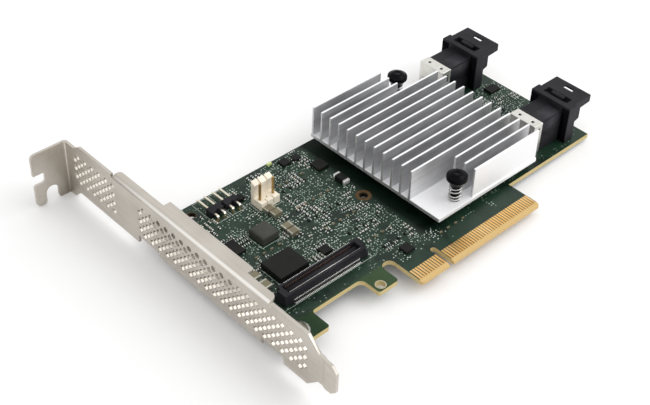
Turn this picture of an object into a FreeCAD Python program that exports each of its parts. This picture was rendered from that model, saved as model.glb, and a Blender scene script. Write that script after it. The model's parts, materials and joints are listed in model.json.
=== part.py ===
import FreeCAD, Part
import math
import os

# RAID controller card: an eight lane edge-connector board lying component side up, with a full-height
# vented bracket, a pinned heatsink, two cable ports, a cache-module socket and two small headers.
#
# Sizes are millimetres. While it is being built the card has X measured from the bracket's outer face,
# Y from the tips of the gold fingers and Z from the component face of the board. On export every solid
# is moved so that the origin is the centre of the key notch, at the finger tips, in the middle of the
# board's thickness: the point that locates the card in its slot.

V = FreeCAD.Vector

# ---------------------------------------------------------------- driving dimensions: board
board_thickness = 1.57
board_left = 1.9
board_length = 135.6
board_right = board_left + board_length
board_top = 68.9
board_shoulder = 12.4
foot_right = 16.0
foot_bottom = 5.0
tab_left = 34.9
tab_right = 42.6
tab_bottom = 5.2
tongue_left = 46.9
tongue_right = 98.2
slot_top = 13.0
key_x = 59.05
key_width = 1.9
key_depth = 8.3
key_radius = 0.9
bevel_height = 1.4
bevel_depth = 0.4
corner_radius = 0.9
shoulder_radius = 2.0
foot_inner_radius = 1.2
finger_corner_radius = 1.0
tab_hole = (37.4, 7.3, 1.25)
standoff_hole = (60.9, 38.15, 1.35)
tooling_hole = (16.0, 64.9, 1.3)

# ---------------------------------------------------------------- driving dimensions: gold fingers
finger_pitch = 1.0
finger_width = 0.7
finger_top = 5.6
finger_thickness = 0.1
fingers_before_key = 11
fingers_after_key = 38
first_finger_x = tongue_left + 0.65
first_finger_after_key_x = tongue_left + 13.65

# ---------------------------------------------------------------- driving dimensions: bracket
sheet = 0.86
strip_top = 14.5
strip_width = 18.42
strip_bottom = strip_top - strip_width
bend_inside = 0.5
bend_outside = bend_inside + sheet
bracket_top = 105.7
bracket_height = 120.02
tongue_end = bracket_top - bracket_height
tongue_low = 0.2
tongue_high = 10.4
taper_start = -3.4
taper_end = -7.5
joggle_start = -9.0
joggle_end = -10.3
joggle = 0.35
tongue_chamfer = 1.8
neck_low = -6.9
neck_high = 12.6
neck_start = 98.9
neck_full = 102.3
neck_high_start = 97.4
neck_high_full = 100.3
tab_reach = 12.0
tab_notch_low = 1.3
tab_notch_high = 5.0
tab_notch_depth = 3.9
screw_slot_width = 4.4
screw_slot_x = -6.2
screw_slot_top = -1.2
upper_flange_low = 11.8
upper_flange_high = 80.3
upper_flange_narrow = 3.0
upper_flange_wide = 5.4
upper_flange_wide_low = 23.6
upper_flange_wide_high = 59.9
lower_flange_low = 15.0
lower_flange_high = 59.5
lower_flange_reach = 4.0
relief = 0.8
lug_reach = 12.6
lug_low_start = 5.8
lug_low_end = 14.0
lug_high_start = 60.3
lug_high_end = 68.5
lug_high_notch_end = 69.3
mount_x = 8.7
mount_low_y = 9.7
mount_high_y = 64.3
screw_hole_radius = 1.75
screw_shank_radius = 1.2
screw_length = 3.6
screw_head_radius = 2.5
screw_head_height = 1.2

# ---------------------------------------------------------------- driving dimensions: bracket vents
vent_radius = 0.98
vent_sides = 6
vent_pitch = 3.5
vent_row_pitch = 1.6
vent_rows = 7
vent_long_start = -0.55
vent_long_columns = 20
vent_short_start = 80.85
vent_short_columns = 6

# ---------------------------------------------------------------- driving dimensions: heatsink
sink_left = 66.4
sink_to_ports = 3.6
sink_low = 12.5
sink_high = 67.9
sink_bottom = 2.6
sink_base = 1.3
sink_top = 14.3
fin_count = 15
fin_thickness = 0.9
fin_tip_thickness = 0.7
fin_first_y = 13.35
fin_last_y = 67.05
sink_corner_length = 14.9
sink_corner_fins = 3
pin_near_offset = (10.65, 3.7)
pin_far_offset = (-9.95, -3.9)
pin_shaft_radius = 1.3
pin_hole_radius = pin_shaft_radius + 0.4
pin_head_radius = 3.3
pin_head_top = 13.6
pin_head_rim = 11.0
pin_collar_bottom = 9.2
spring_radius = 1.8
spring_wire = 0.44
spring_turns = 4
spring_steps_per_turn = 8
chip_size = 31.0
chip_lid_size = 25.0
chip_substrate = 1.0
chip_height = 2.1

# ---------------------------------------------------------------- driving dimensions: cable ports
port_centres = (22.1, 61.0)
port_to_board_end = 23.2
port_body_length = 13.2
port_body_half = 4.75
port_body_top = 11.1
port_collar_length = 3.7
port_flange_half = 7.8
port_lip_half = 6.9
port_top = 13.3
port_foot_length = 5.3
port_foot_top = 5.6
port_face_length = 7.2
port_lip_bottom = 10.2
port_lip_length = 11.9
port_lip_plate = 0.7
port_lip_slope = 0.3
port_corner_radius = 0.5
port_mouth_half = 4.1
port_mouth_low = 1.1
port_mouth_high = 9.9
port_back_wall = 4.3
port_latch_start = 8.4
port_latch_length = 1.3
port_latch_half = 1.8
port_groove_start = 2.0
port_groove_length = 2.8
port_groove_half = 4.7
port_groove_depth = 1.6
port_peg_radius = 0.7
port_peg_offset = 3.2
port_back_peg = 3.2
port_front_peg = 15.7
port_contact_heights = (2.6, 6.8)
port_contact_columns = 9
port_contact_pitch = 0.75
port_contact_reach = 7.5
port_contact_depth = 1.3
port_contact_thickness = 0.34
shield_sheet = 0.3
shield_length = 3.6
shield_window_low = 6.8
shield_window_high = 9.8
shield_skirt = 5.4
shield_hole = 1.0
shield_hole_offset = 2.6
shield_edge = 1.0

# ---------------------------------------------------------------- driving dimensions: cache socket
socket_left = 11.3
socket_right = 42.9
socket_low = 17.9
socket_high = 22.6
socket_top = 4.2
socket_wall = 0.75
socket_floor = 1.0
socket_end_wall = 2.0
socket_foot = 1.6
socket_key_length = 1.0
socket_key_width = 1.4
socket_key_bottom = 2.2
socket_contacts = 38
socket_pitch = 0.67
socket_tail = 0.5
socket_contact_reach = 1.4
socket_contact_width = 0.28
socket_contact_thickness = 0.2

# ---------------------------------------------------------------- driving dimensions: pin headers
pin_square = 0.64
pin_pitch = 2.54
jumper_xs = (20.75, 26.45)
jumper_body = (60.0, 62.5)
jumper_height = 2.3
jumper_pin_height = 1.3
jumper_pin_tip = 67.9
jumper_leg_y = 58.3
jumper_waist = 0.6
jumper_waist_depth = 0.4
jumper_side_gap = 0.1
solder_tail = 1.2
lead_hole_radius = 0.65
alarm_left = 32.75
alarm_low = 52.6
alarm_depth = 4.9
alarm_width = 7.2
alarm_base_height = 2.8
alarm_wall_height = 8.7
alarm_wall_thickness = 1.2
alarm_latch_depth = 1.8
alarm_latch_drop = 0.9
alarm_pin_top = 8.9
alarm_pin_inset = 2.0
alarm_latch_step = 1.0
alarm_front_slit = 0.3
alarm_front_slit_depth = 1.4
alarm_back_slit = 0.4
alarm_back_slit_height = 2.0

# ---------------------------------------------------------------- driving dimensions: surface-mounted parts
inductor_place = (26.1, 43.9)
inductor_side = 6.3
inductor_height = 2.8
inductor_chamfer = 0.4
memory_place = (22.1, 30.2)
memory_length = 10.6
memory_width = 8.8
memory_height = 1.9
memory_chamfer = 0.15
small_chip_height = 1.0
small_chip_chamfer = 0.12
bead_place = (60.6, 47.6)
bead_length = 5.0
bead_width = 2.4
bead_height = 1.8
bead_cap = 0.8
large_capacitor_length = 3.2
large_capacitor_width = 2.4
large_capacitor_height = 1.5
large_capacitor_cap = 0.5
small_part_length = 1.0
small_part_width = 0.5
small_capacitor_height = 0.5
small_resistor_height = 0.35
light_place = (49.0, 68.0)
light_length = 1.6
light_width = 0.9
light_height = 0.7
underside_capacitor_pitch = 4.4


# ---------------------------------------------------------------- shape helpers
def lay(plane, a, b, c):
    """Turn two coordinates on a plane and one across it into a point."""
    if plane == "XY":
        return V(a, b, c)
    if plane == "YZ":
        return V(c, a, b)
    return V(a, c, b)


def rounded_wire(plane, corners, level):
    """Closed outline through (a, b) or (a, b, radius) corners, each rounded by an arc of its radius."""
    edges = []
    starts = []
    ends = []
    count = len(corners)
    for index in range(count):
        here = V(corners[index][0], corners[index][1], 0)
        before = V(corners[index - 1][0], corners[index - 1][1], 0) - here
        after = V(corners[(index + 1) % count][0], corners[(index + 1) % count][1], 0) - here
        radius = corners[index][2] if len(corners[index]) > 2 else 0
        before.normalize()
        after.normalize()
        if radius:
            half = before.getAngle(after) / 2
            reach = radius / math.tan(half)
            middle = before + after
            middle.normalize()
            middle = here + middle * (radius / math.sin(half) - radius)
            first = here + before * reach
            last = here + after * reach
            points = [lay(plane, p.x, p.y, level) for p in (first, middle, last)]
            edges.append(Part.Arc(*points).toShape())
        else:
            first = last = here
        starts.append(first)
        ends.append(last)
    for index in range(count):
        first = ends[index]
        last = starts[(index + 1) % count]
        if first.distanceToPoint(last) > 1e-6:
            line = Part.makeLine(lay(plane, first.x, first.y, level), lay(plane, last.x, last.y, level))
            edges.append(line)
    return Part.Wire(Part.__sortEdges__(edges))


def circle_wire(plane, a, b, radius, level):
    normal = lay(plane, 0, 0, 1)
    return Part.Wire([Part.makeCircle(radius, lay(plane, a, b, level), normal)])


def polygon_points(plane, a, b, radius, sides, level):
    """Corners of a regular polygon, the first one repeated at the end."""
    points = []
    for side in range(sides + 1):
        angle = (side + 0.5) * 2 * math.pi / sides
        points.append(lay(plane, a + radius * math.cos(angle), b + radius * math.sin(angle), level))
    return points


def polygon_wire(plane, a, b, radius, sides, level):
    return Part.makePolygon(polygon_points(plane, a, b, radius, sides, level))


def plate(plane, corners, level, thickness, holes=()):
    """Flat plate with a rounded outline and holes, its thickness across the plane."""
    wires = [rounded_wire(plane, corners, level)] + list(holes)
    face = Part.makeFace(Part.Compound(wires), "Part::FaceMakerBullseye")
    return face.extrude(lay(plane, 0, 0, thickness))


def box(x0, x1, y0, y1, z0, z1):
    return Part.makeBox(x1 - x0, y1 - y0, z1 - z0, V(x0, y0, z0))


def upright(x, y, z0, z1, radius):
    return Part.makeCylinder(radius, z1 - z0, V(x, y, z0))


def turned(x, y, profile, sides=16):
    """Small turned piece on an upright axis, skinned in flats through rings of (radius, height)."""
    rings = [polygon_points("XY", x, y, radius, sides, height) for radius, height in profile]
    faces = [Part.Face(Part.makePolygon(ring)) for ring in (rings[0], rings[-1])]
    for low, high in zip(rings, rings[1:]):
        for side in range(sides):
            corners = [low[side], low[side + 1], high[side + 1], high[side], low[side]]
            faces.append(Part.Face(Part.makePolygon(corners)))
    return Part.makeSolid(Part.makeShell(faces))


def prism(x, y, z0, z1, radius, sides=8):
    """Upright peg, or the cutter of a small plain hole."""
    return Part.Face(polygon_wire("XY", x, y, radius, sides, z0)).extrude(V(0, 0, z1 - z0))


def joined(first, *others):
    return first.fuse(list(others)).removeSplitter()


def export(name, *solids):
    """Move solids to the card's origin and write them as one named part."""
    shape = solids[0] if len(solids) == 1 else Part.Compound(list(solids))
    shape = shape.copy()
    shape.translate(V(-key_x, 0, board_thickness / 2))
    shape.exportStep("parts/" + name + ".step")


# ---------------------------------------------------------------- places worked out from the sizes
strip_middle = (strip_top + strip_bottom) / 2
port_back = board_right - port_to_board_end
port_flange_x = port_back + port_body_length
port_flange_step = port_flange_x + port_collar_length
port_foot_x = port_flange_x + port_foot_length
port_face_x = port_flange_x + port_face_length
port_lip_x = port_flange_x + port_lip_length
port_cavity_back = port_back + port_back_wall
sink_right = port_back - sink_to_ports
sink_middle_x = (sink_left + sink_right) / 2
sink_middle_y = (sink_low + sink_high) / 2
pin_places = (
    ("near", sink_left + pin_near_offset[0], sink_low + pin_near_offset[1]),
    ("far", sink_right + pin_far_offset[0], sink_high + pin_far_offset[1]),
)
port_places = (("near", port_centres[0]), ("far", port_centres[1]))
mount_places = ((mount_x, mount_low_y), (mount_x, mount_high_y))
alarm_pin_y = alarm_low + alarm_pin_inset
alarm_pin_xs = (alarm_left + alarm_width / 2 - pin_pitch, alarm_left + alarm_width / 2 + pin_pitch)
jumper_pin_xs = [start + step * pin_pitch for start in jumper_xs for step in (0, 1)]
port_peg_places = [(port_back + reach, centre + side * port_peg_offset) for _, centre in port_places
                   for reach, side in ((port_back_peg, 1), (port_front_peg, -1))]


# ---------------------------------------------------------------- circuit board
def circuit_board():
    outline = [
        (board_left, foot_bottom),
        (foot_right, foot_bottom, corner_radius),
        (foot_right, board_shoulder, foot_inner_radius),
        (tab_left, board_shoulder, shoulder_radius),
        (tab_left, tab_bottom, corner_radius),
        (tab_right, tab_bottom, corner_radius),
        (tab_right, slot_top, shoulder_radius),
        (tongue_left, slot_top, shoulder_radius),
        (tongue_left, 0, finger_corner_radius),
        (key_x - key_width / 2, 0),
        (key_x - key_width / 2, key_depth, key_radius),
        (key_x + key_width / 2, key_depth, key_radius),
        (key_x + key_width / 2, 0),
        (tongue_right, 0, finger_corner_radius),
        (tongue_right, board_shoulder),
        (board_right, board_shoulder),
        (board_right, board_top),
        (board_left, board_top),
    ]
    open_holes = (tab_hole, standoff_hole, tooling_hole)
    wires = [circle_wire("XY", x, y, radius, -board_thickness) for x, y, radius in open_holes]
    filled_holes = [(x, y, screw_hole_radius) for x, y in mount_places]
    filled_holes += [(x, y, pin_hole_radius) for _, x, y in pin_places]
    filled_holes += [(x, jumper_leg_y, lead_hole_radius) for x in jumper_pin_xs]
    filled_holes += [(x, alarm_pin_y, lead_hole_radius) for x in alarm_pin_xs]
    filled_holes += [(x, y, port_peg_radius + 0.25) for x, y in port_peg_places]
    wires += [polygon_wire("XY", x, y, radius, 8, -board_thickness) for x, y, radius in filled_holes]
    board = plate("XY", outline, -board_thickness, board_thickness, wires)
    bevels = []
    for face, inward in ((0, -1), (-board_thickness, 1)):
        wedge = [V(tongue_left - 1, -0.01, face), V(tongue_left - 1, bevel_height, face),
                 V(tongue_left - 1, -0.01, face + inward * bevel_depth)]
        wedge.append(wedge[0])
        bevels.append(Part.Face(Part.makePolygon(wedge)).extrude(V(tongue_right - tongue_left + 2, 0, 0)))
    return board.cut(bevels)


def edge_fingers(bottom):
    """Gold pads on one side of the edge connector, in the two groups beside the key."""
    pads = []
    groups = ((first_finger_x, fingers_before_key), (first_finger_after_key_x, fingers_after_key))
    for start, count in groups:
        for index in range(count):
            middle = start + index * finger_pitch
            pads.append(box(middle - finger_width / 2, middle + finger_width / 2, bevel_height, finger_top,
                            bottom, bottom + finger_thickness))
    return pads


# ---------------------------------------------------------------- bracket
def vent_holes():
    """Rows of six-sided vents, every second row moved half a pitch."""
    wires = []
    for start, columns in ((vent_long_start, vent_long_columns), (vent_short_start, vent_short_columns)):
        for row in range(vent_rows):
            height = strip_middle + (row - (vent_rows - 1) / 2) * vent_row_pitch
            shifted = row % 2 == 1
            first = start
            count = columns
            if shifted and start == vent_long_start:
                first = start - vent_pitch / 2
                count = columns + 1
            elif shifted:
                first = start + vent_pitch / 2
            for column in range(count):
                place = first + column * vent_pitch
                wires.append(polygon_wire("YZ", place, height, vent_radius, vent_sides, 0))
    return wires


def flange_profile(edge, reach, start, way):
    """Section across the strip and a flange bent off it; way is +1 for the upper edge, -1 for the lower."""
    return [
        (0, start),
        (0, edge, bend_outside),
        (reach, edge),
        (reach, edge - way * sheet),
        (sheet, edge - way * sheet, bend_inside),
        (sheet, start),
    ]


def bracket_strip():
    """Flat strip with its tapers, neck and notches, perforated by the vents."""
    bend_top = strip_top - bend_outside
    bend_bottom = strip_bottom + bend_outside
    lug_edge = -board_thickness - sheet + bend_outside
    outline = [
        (taper_end, tongue_low),
        (taper_start, strip_bottom),
        (lug_low_start, strip_bottom),
        (lug_low_start, lug_edge),
        (lower_flange_low, lug_edge),
        (lower_flange_low, bend_bottom),
        (lower_flange_high, bend_bottom),
        (lower_flange_high, lug_edge),
        (lug_high_notch_end, lug_edge),
        (lug_high_notch_end, strip_bottom),
        (neck_start, strip_bottom, 1.5),
        (neck_full, neck_low),
        (neck_full + 0.5, neck_low),
        (neck_full + 0.5, neck_high),
        (neck_high_full, neck_high),
        (neck_high_start, strip_top),
        (upper_flange_high + relief, strip_top),
        (upper_flange_high + relief, bend_top),
        (upper_flange_low - relief, bend_top),
        (upper_flange_low - relief, strip_top),
        (taper_start, strip_top),
        (taper_end, tongue_high),
    ]
    return plate("YZ", outline, 0, sheet, vent_holes())


def bracket_tongue():
    """Tongue that drops into the chassis slot, stepped outwards by the joggle."""
    profile = [
        (0, taper_end),
        (0, joggle_start),
        (-joggle, joggle_end),
        (-joggle, tongue_end),
        (sheet - joggle, tongue_end),
        (sheet - joggle, joggle_end),
        (sheet, joggle_start),
        (sheet, taper_end),
    ]
    bar = plate("XY", profile, tongue_low, tongue_high - tongue_low)
    limits = [
        (taper_end, tongue_low),
        (tongue_end + tongue_chamfer, tongue_low),
        (tongue_end, tongue_low + tongue_chamfer),
        (tongue_end, tongue_high - tongue_chamfer),
        (tongue_end + tongue_chamfer, tongue_high),
        (taper_end, tongue_high),
    ]
    return bar.common(plate("YZ", limits, -2, 4))


def bracket_tab():
    """Screw tab bent outwards, with the side notch and the open screw slot."""
    profile = [
        (sheet, neck_full + 0.5),
        (sheet, bracket_top, bend_outside),
        (-tab_reach, bracket_top),
        (-tab_reach, bracket_top - sheet),
        (0, bracket_top - sheet, bend_inside),
        (0, neck_full + 0.5),
    ]
    bent = plate("XY", profile, neck_low, neck_high - neck_low)
    slot_radius = screw_slot_width / 2
    limits = [
        (sheet, neck_high),
        (-tab_reach, neck_high, 1.5),
        (-tab_reach, tab_notch_high),
        (-tab_reach + tab_notch_depth, tab_notch_high, 0.8),
        (-tab_reach + tab_notch_depth, tab_notch_low, 0.8),
        (-tab_reach, tab_notch_low, 0.8),
        (-tab_reach, neck_low, 1.7),
        (screw_slot_x - slot_radius, neck_low, 1.2),
        (screw_slot_x - slot_radius, screw_slot_top, slot_radius - 0.01),
        (screw_slot_x + slot_radius, screw_slot_top, slot_radius - 0.01),
        (screw_slot_x + slot_radius, neck_low, 0.9),
        (sheet, neck_low),
    ]
    return bent.common(plate("XZ", limits, neck_start, bracket_top - neck_start + 1))


def upper_flange():
    """Stiffening flange on the component side, wider along its middle."""
    profile = flange_profile(strip_top, upper_flange_wide, strip_top - bend_outside, 1)
    bar = plate("XZ", profile, upper_flange_low, upper_flange_high - upper_flange_low)
    limits = [
        (-1, upper_flange_low),
        (upper_flange_narrow, upper_flange_low, 1.6),
        (upper_flange_narrow, upper_flange_wide_low),
        (upper_flange_wide, upper_flange_wide_low, 0.8),
        (upper_flange_wide, upper_flange_wide_high),
        (upper_flange_narrow, upper_flange_wide_high),
        (upper_flange_narrow, upper_flange_high, 1.2),
        (-1, upper_flange_high),
    ]
    return bar.common(plate("XY", limits, 0, strip_top + 1))


def lower_flange():
    profile = flange_profile(strip_bottom, lower_flange_reach, strip_bottom + bend_outside, -1)
    return plate("XZ", profile, lower_flange_low, lower_flange_high - lower_flange_low)


def mounting_lug(low, high, screw_y):
    """Lug bent under the board, with the hole that takes a bracket screw."""
    edge = -board_thickness - sheet
    bar = plate("XZ", flange_profile(edge, lug_reach, edge + bend_outside, -1), low, high - low)
    limits = [(-1, low), (lug_reach, low, 2.0), (lug_reach, high, 2.0), (-1, high)]
    bar = bar.common(plate("XY", limits, edge - 1, 4))
    return bar.cut(prism(mount_x, screw_y, edge - 1, edge + 2, screw_hole_radius - 0.1))


def io_bracket():
    return joined(
        bracket_strip(),
        bracket_tongue(),
        bracket_tab(),
        upper_flange(),
        lower_flange(),
        mounting_lug(lug_low_start, lug_low_end, mount_low_y),
        mounting_lug(lug_high_start, lug_high_end, mount_high_y),
    )


def bracket_screw(x, y):
    """Pan-head screw that goes through the board into a lug."""
    profile = [
        (screw_shank_radius, -screw_length),
        (screw_shank_radius, 0),
        (screw_head_radius, 0),
        (screw_head_radius, screw_head_height / 2),
        (screw_head_radius * 0.7, screw_head_height),
    ]
    return turned(x, y, profile)


# ---------------------------------------------------------------- heatsink, its pins and the controller
def heatsink():
    """Extruded comb of fins, machined away at two corners where the push pins stand."""
    base_top = sink_bottom + sink_base
    pitch = (fin_last_y - fin_first_y) / (fin_count - 1)
    section = [(sink_low, sink_bottom), (sink_low, base_top)]
    for index in range(fin_count):
        middle = fin_first_y + index * pitch
        section += [
            (middle - fin_thickness / 2, base_top),
            (middle - fin_tip_thickness / 2, sink_top),
            (middle + fin_tip_thickness / 2, sink_top),
            (middle + fin_thickness / 2, base_top),
        ]
    section += [(sink_high, base_top), (sink_high, sink_bottom)]
    sink = plate("YZ", section, sink_left, sink_right - sink_left)
    corner_width = (sink_corner_fins - 0.5) * pitch
    near_corner = box(sink_left - 1, sink_left + sink_corner_length, sink_low - 1,
                      fin_first_y + corner_width, base_top, sink_top + 1)
    far_corner = box(sink_right - sink_corner_length, sink_right + 1, fin_last_y - corner_width,
                     sink_high + 1, base_top, sink_top + 1)
    holes = [prism(x, y, sink_bottom - 1, base_top + 1, pin_hole_radius) for _, x, y in pin_places]
    return sink.cut([near_corner, far_corner] + holes)


def controller_chip():
    half = chip_size / 2
    lid = chip_lid_size / 2
    x = sink_middle_x
    y = sink_middle_y
    return joined(
        box(x - half, x + half, y - half, y + half, 0, chip_substrate),
        box(x - lid, x + lid, y - lid, y + lid, chip_substrate, chip_height),
    )


def thermal_pad():
    lid = chip_lid_size / 2
    return box(sink_middle_x - lid, sink_middle_x + lid, sink_middle_y - lid, sink_middle_y + lid,
               chip_height, sink_bottom)


def push_pin(x, y):
    """Domed pin whose split barbs catch under the board."""
    under = -board_thickness
    profile = [
        (0.9, under - 2.2),
        (pin_hole_radius + 0.4, under),
        (pin_shaft_radius, under),
        (pin_shaft_radius, pin_collar_bottom),
        (pin_head_radius, pin_head_rim),
        (pin_head_radius * 0.9, pin_head_rim + 1.5),
        (pin_head_radius * 0.5, pin_head_top),
    ]
    pin = turned(x, y, profile)
    return pin.cut(box(x - 0.25, x + 0.25, y - 3, y + 3, under - 3, under + 0.4))


def pin_spring(x, y):
    """Compression spring with ground ends between the heatsink's base and the pin's collar."""
    low = sink_bottom + sink_base
    high = pin_collar_bottom
    half = spring_wire / 2
    steps = spring_turns * spring_steps_per_turn
    sections = []
    for step in range(steps + 1):
        angle = step * 2 * math.pi / spring_steps_per_turn
        height = low + (high - low) * step / steps
        outward = V(math.cos(angle), math.sin(angle), 0)
        middle = V(x, y, height) + outward * spring_radius
        corners = [middle + outward * (half * a) + V(0, 0, half * b)
                   for a, b in ((1, 0), (0, 1), (-1, 0), (0, -1))]
        sections.append(Part.makePolygon(corners + [corners[0]]))
    coil = Part.makeLoft(sections, True, True)
    return coil.common(upright(x, y, low, high, spring_radius + 1))


# ---------------------------------------------------------------- cable ports
def cable_port(centre):
    """Right-angle port: narrow body, wide shroud and an overhanging latch lip."""
    body = box(port_back, port_flange_x, centre - port_body_half, centre + port_body_half, 0, port_body_top)
    shroud_profile = [
        (port_flange_x, 0),
        (port_foot_x, 0),
        (port_foot_x, port_foot_top),
        (port_face_x, port_foot_top + 0.6),
        (port_face_x, port_lip_bottom),
        (port_lip_x, port_lip_bottom + port_lip_slope),
        (port_lip_x, port_top, port_corner_radius),
        (port_flange_x, port_top, port_corner_radius),
    ]
    shroud = plate("XZ", shroud_profile, centre - port_lip_half, 2 * port_lip_half)
    collar = box(port_flange_x, port_flange_step, centre - port_flange_half, centre + port_flange_half,
                 0, port_top)
    pegs = [prism(x, y, -board_thickness - 0.4, 0.5, port_peg_radius)
            for x, y in port_peg_places if abs(y - centre) < port_flange_half]
    port = joined(body, shroud, collar, *pegs)
    mouth = box(port_cavity_back, port_lip_x + 1, centre - port_mouth_half, centre + port_mouth_half,
                port_mouth_low, port_mouth_high)
    under_lip = box(port_face_x, port_lip_x + 1, centre - port_mouth_half, centre + port_mouth_half,
                    port_mouth_low, port_top - port_lip_plate)
    latch_x = port_flange_x + port_latch_start
    latch_slot = box(latch_x, latch_x + port_latch_length, centre - port_latch_half, centre + port_latch_half,
                     port_lip_bottom, port_top + 1)
    groove_x = port_flange_x + port_groove_start
    groove = box(groove_x, groove_x + port_groove_length, centre - port_groove_half,
                 centre + port_groove_half, port_top - port_groove_depth, port_top + 1)
    return port.cut([mouth, under_lip, latch_slot, groove])


def port_contacts(centre):
    """Rows of contact beams standing forward from the back of the mouth."""
    half = port_contact_thickness / 2
    beams = []
    for height in port_contact_heights:
        for column in range(port_contact_columns):
            y = centre + (column - (port_contact_columns - 1) / 2) * port_contact_pitch
            beams.append(box(port_cavity_back, port_cavity_back + port_contact_reach, y - half, y + half,
                             height, height + port_contact_depth))
    return beams


def port_shield(centre):
    """Formed metal cap over the back of a port, windowed at its sides and pierced on top."""
    inner = port_body_half
    outer = port_body_half + shield_sheet
    back = port_back - shield_sheet
    front = port_back + shield_length
    top = port_body_top + shield_sheet
    shell = box(back, front, centre - outer, centre + outer, 0.2, top)
    hollow = box(port_back, front + 1, centre - inner, centre + inner, -1, port_body_top)
    cuts = [hollow]
    for side in (-1, 1):
        wall = centre + side * outer
        hole = centre + side * shield_hole_offset
        cuts.append(box(back + shield_edge, front - shield_edge, wall - 1, wall + 1,
                        shield_window_low, shield_window_high))
        cuts.append(box(back + shield_edge, front - shield_edge, wall - 1, wall + 1, -1, shield_skirt))
        cuts.append(box(port_back + shield_edge, port_back + shield_edge + shield_hole,
                        hole - shield_hole / 2, hole + shield_hole / 2, top - 1, top + 1))
    return shell.cut(cuts)


# ---------------------------------------------------------------- cache-module socket
def cache_socket():
    """Long board-to-board socket with an open top and a keyed block at each end."""
    shell = box(socket_left, socket_right, socket_low, socket_high, socket_contact_thickness, socket_top)
    hollow = box(socket_left + socket_end_wall, socket_right - socket_end_wall, socket_low + socket_wall,
                 socket_high - socket_wall, socket_floor, socket_top + 1)
    feet = [box(x0, x0 + socket_foot, socket_low, socket_high, 0, socket_contact_thickness)
            for x0 in (socket_left, socket_right - socket_foot)]
    notches = [box(socket_left - 1, socket_left + socket_key_length, socket_high - socket_key_width,
                   socket_high + 1, socket_key_bottom, socket_top + 1),
               box(socket_right - socket_key_length, socket_right + 1, socket_low - 1,
                   socket_low + socket_key_width, socket_key_bottom, socket_top + 1)]
    return joined(shell, *feet).cut([hollow] + notches)


def socket_contact_row(side):
    """Row of flat contacts lying on the board: each tail runs in under the socket's wall."""
    wall = socket_low if side < 0 else socket_high
    low, high = sorted((wall + side * socket_tail, wall - side * socket_contact_reach))
    first = (socket_left + socket_right) / 2 - (socket_contacts - 1) / 2 * socket_pitch
    contacts = []
    for index in range(socket_contacts):
        x = first + index * socket_pitch
        contacts.append(box(x - socket_contact_width / 2, x + socket_contact_width / 2, low, high,
                            0, socket_contact_thickness))
    return contacts


# ---------------------------------------------------------------- pin headers
def jumper_block(start):
    left = start - pin_pitch / 2 + jumper_side_gap
    right = start + pin_pitch * 1.5 - jumper_side_gap
    front, back = jumper_body
    body = box(left, right, front, back, 0, jumper_height)
    middle = start + pin_pitch / 2
    waist = [box(middle - jumper_waist / 2, middle + jumper_waist / 2, y0, y1, -1, jumper_height + 1)
             for y0, y1 in ((front - 1, front + jumper_waist_depth), (back - jumper_waist_depth, back + 1))]
    holes = [box(x - pin_square / 2, x + pin_square / 2, front - 1, back + 1,
                 jumper_pin_height - pin_square / 2, jumper_pin_height + pin_square / 2)
             for x in (start, start + pin_pitch)]
    return body.cut(waist + holes)


def jumper_pin(x):
    """Square pin lying through its block and bent down into the board."""
    half = pin_square / 2
    low = jumper_pin_height - half
    high = jumper_pin_height + half
    section = [
        (jumper_pin_tip, low),
        (jumper_pin_tip, high),
        (jumper_leg_y, high),
        (jumper_leg_y - half, high - half),
        (jumper_leg_y - half, -board_thickness - solder_tail),
        (jumper_leg_y + half, -board_thickness - solder_tail),
        (jumper_leg_y + half, low),
    ]
    return plate("YZ", section, x - half, pin_square)


def alarm_header():
    """Latching header: a low base with a tall hooked back wall, its middle place left empty."""
    back = alarm_low + alarm_depth
    wall_front = back - alarm_wall_thickness
    hook_front = back - alarm_latch_depth
    hook_top = alarm_wall_height - alarm_latch_drop
    section = [
        (alarm_low, 0),
        (back, 0),
        (back, alarm_wall_height),
        (hook_front, hook_top),
        (hook_front, hook_top - alarm_latch_step),
        (wall_front, hook_top - 1.4 * alarm_latch_step),
        (wall_front, alarm_base_height),
        (alarm_low, alarm_base_height),
    ]
    body = plate("YZ", section, alarm_left, alarm_width)
    half = pin_square / 2
    middle = alarm_left + alarm_width / 2
    cuts = [box(x - half, x + half, alarm_pin_y - half, alarm_pin_y + half, -1, alarm_base_height + 1)
            for x in (alarm_pin_xs[0], middle, alarm_pin_xs[1])]
    for x in (middle - pin_pitch / 2, middle + pin_pitch / 2):
        cuts.append(box(x - alarm_front_slit / 2, x + alarm_front_slit / 2, alarm_low - 1,
                        alarm_low + alarm_front_slit_depth, pin_square, alarm_base_height + 1))
        cuts.append(box(x - alarm_back_slit / 2, x + alarm_back_slit / 2, hook_front - 1, back + 1,
                        hook_top - alarm_back_slit_height, alarm_wall_height + 1))
    return body.cut(cuts)


def alarm_pin(x):
    half = pin_square / 2
    return box(x - half, x + half, alarm_pin_y - half, alarm_pin_y + half,
               -board_thickness - solder_tail, alarm_pin_top)


# ---------------------------------------------------------------- surface-mounted parts
def chamfered_block(x, y, length, width, height, chamfer, bottom=0.0):
    """Moulded package, its top edges bevelled all round."""
    block = Part.makeBox(length, width, height, V(x - length / 2, y - width / 2, bottom))
    top_edges = [edge for edge in block.Edges
                 if min(vertex.Z for vertex in edge.Vertexes) > bottom + height - 0.01]
    return block.makeChamfer(chamfer, top_edges)


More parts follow.
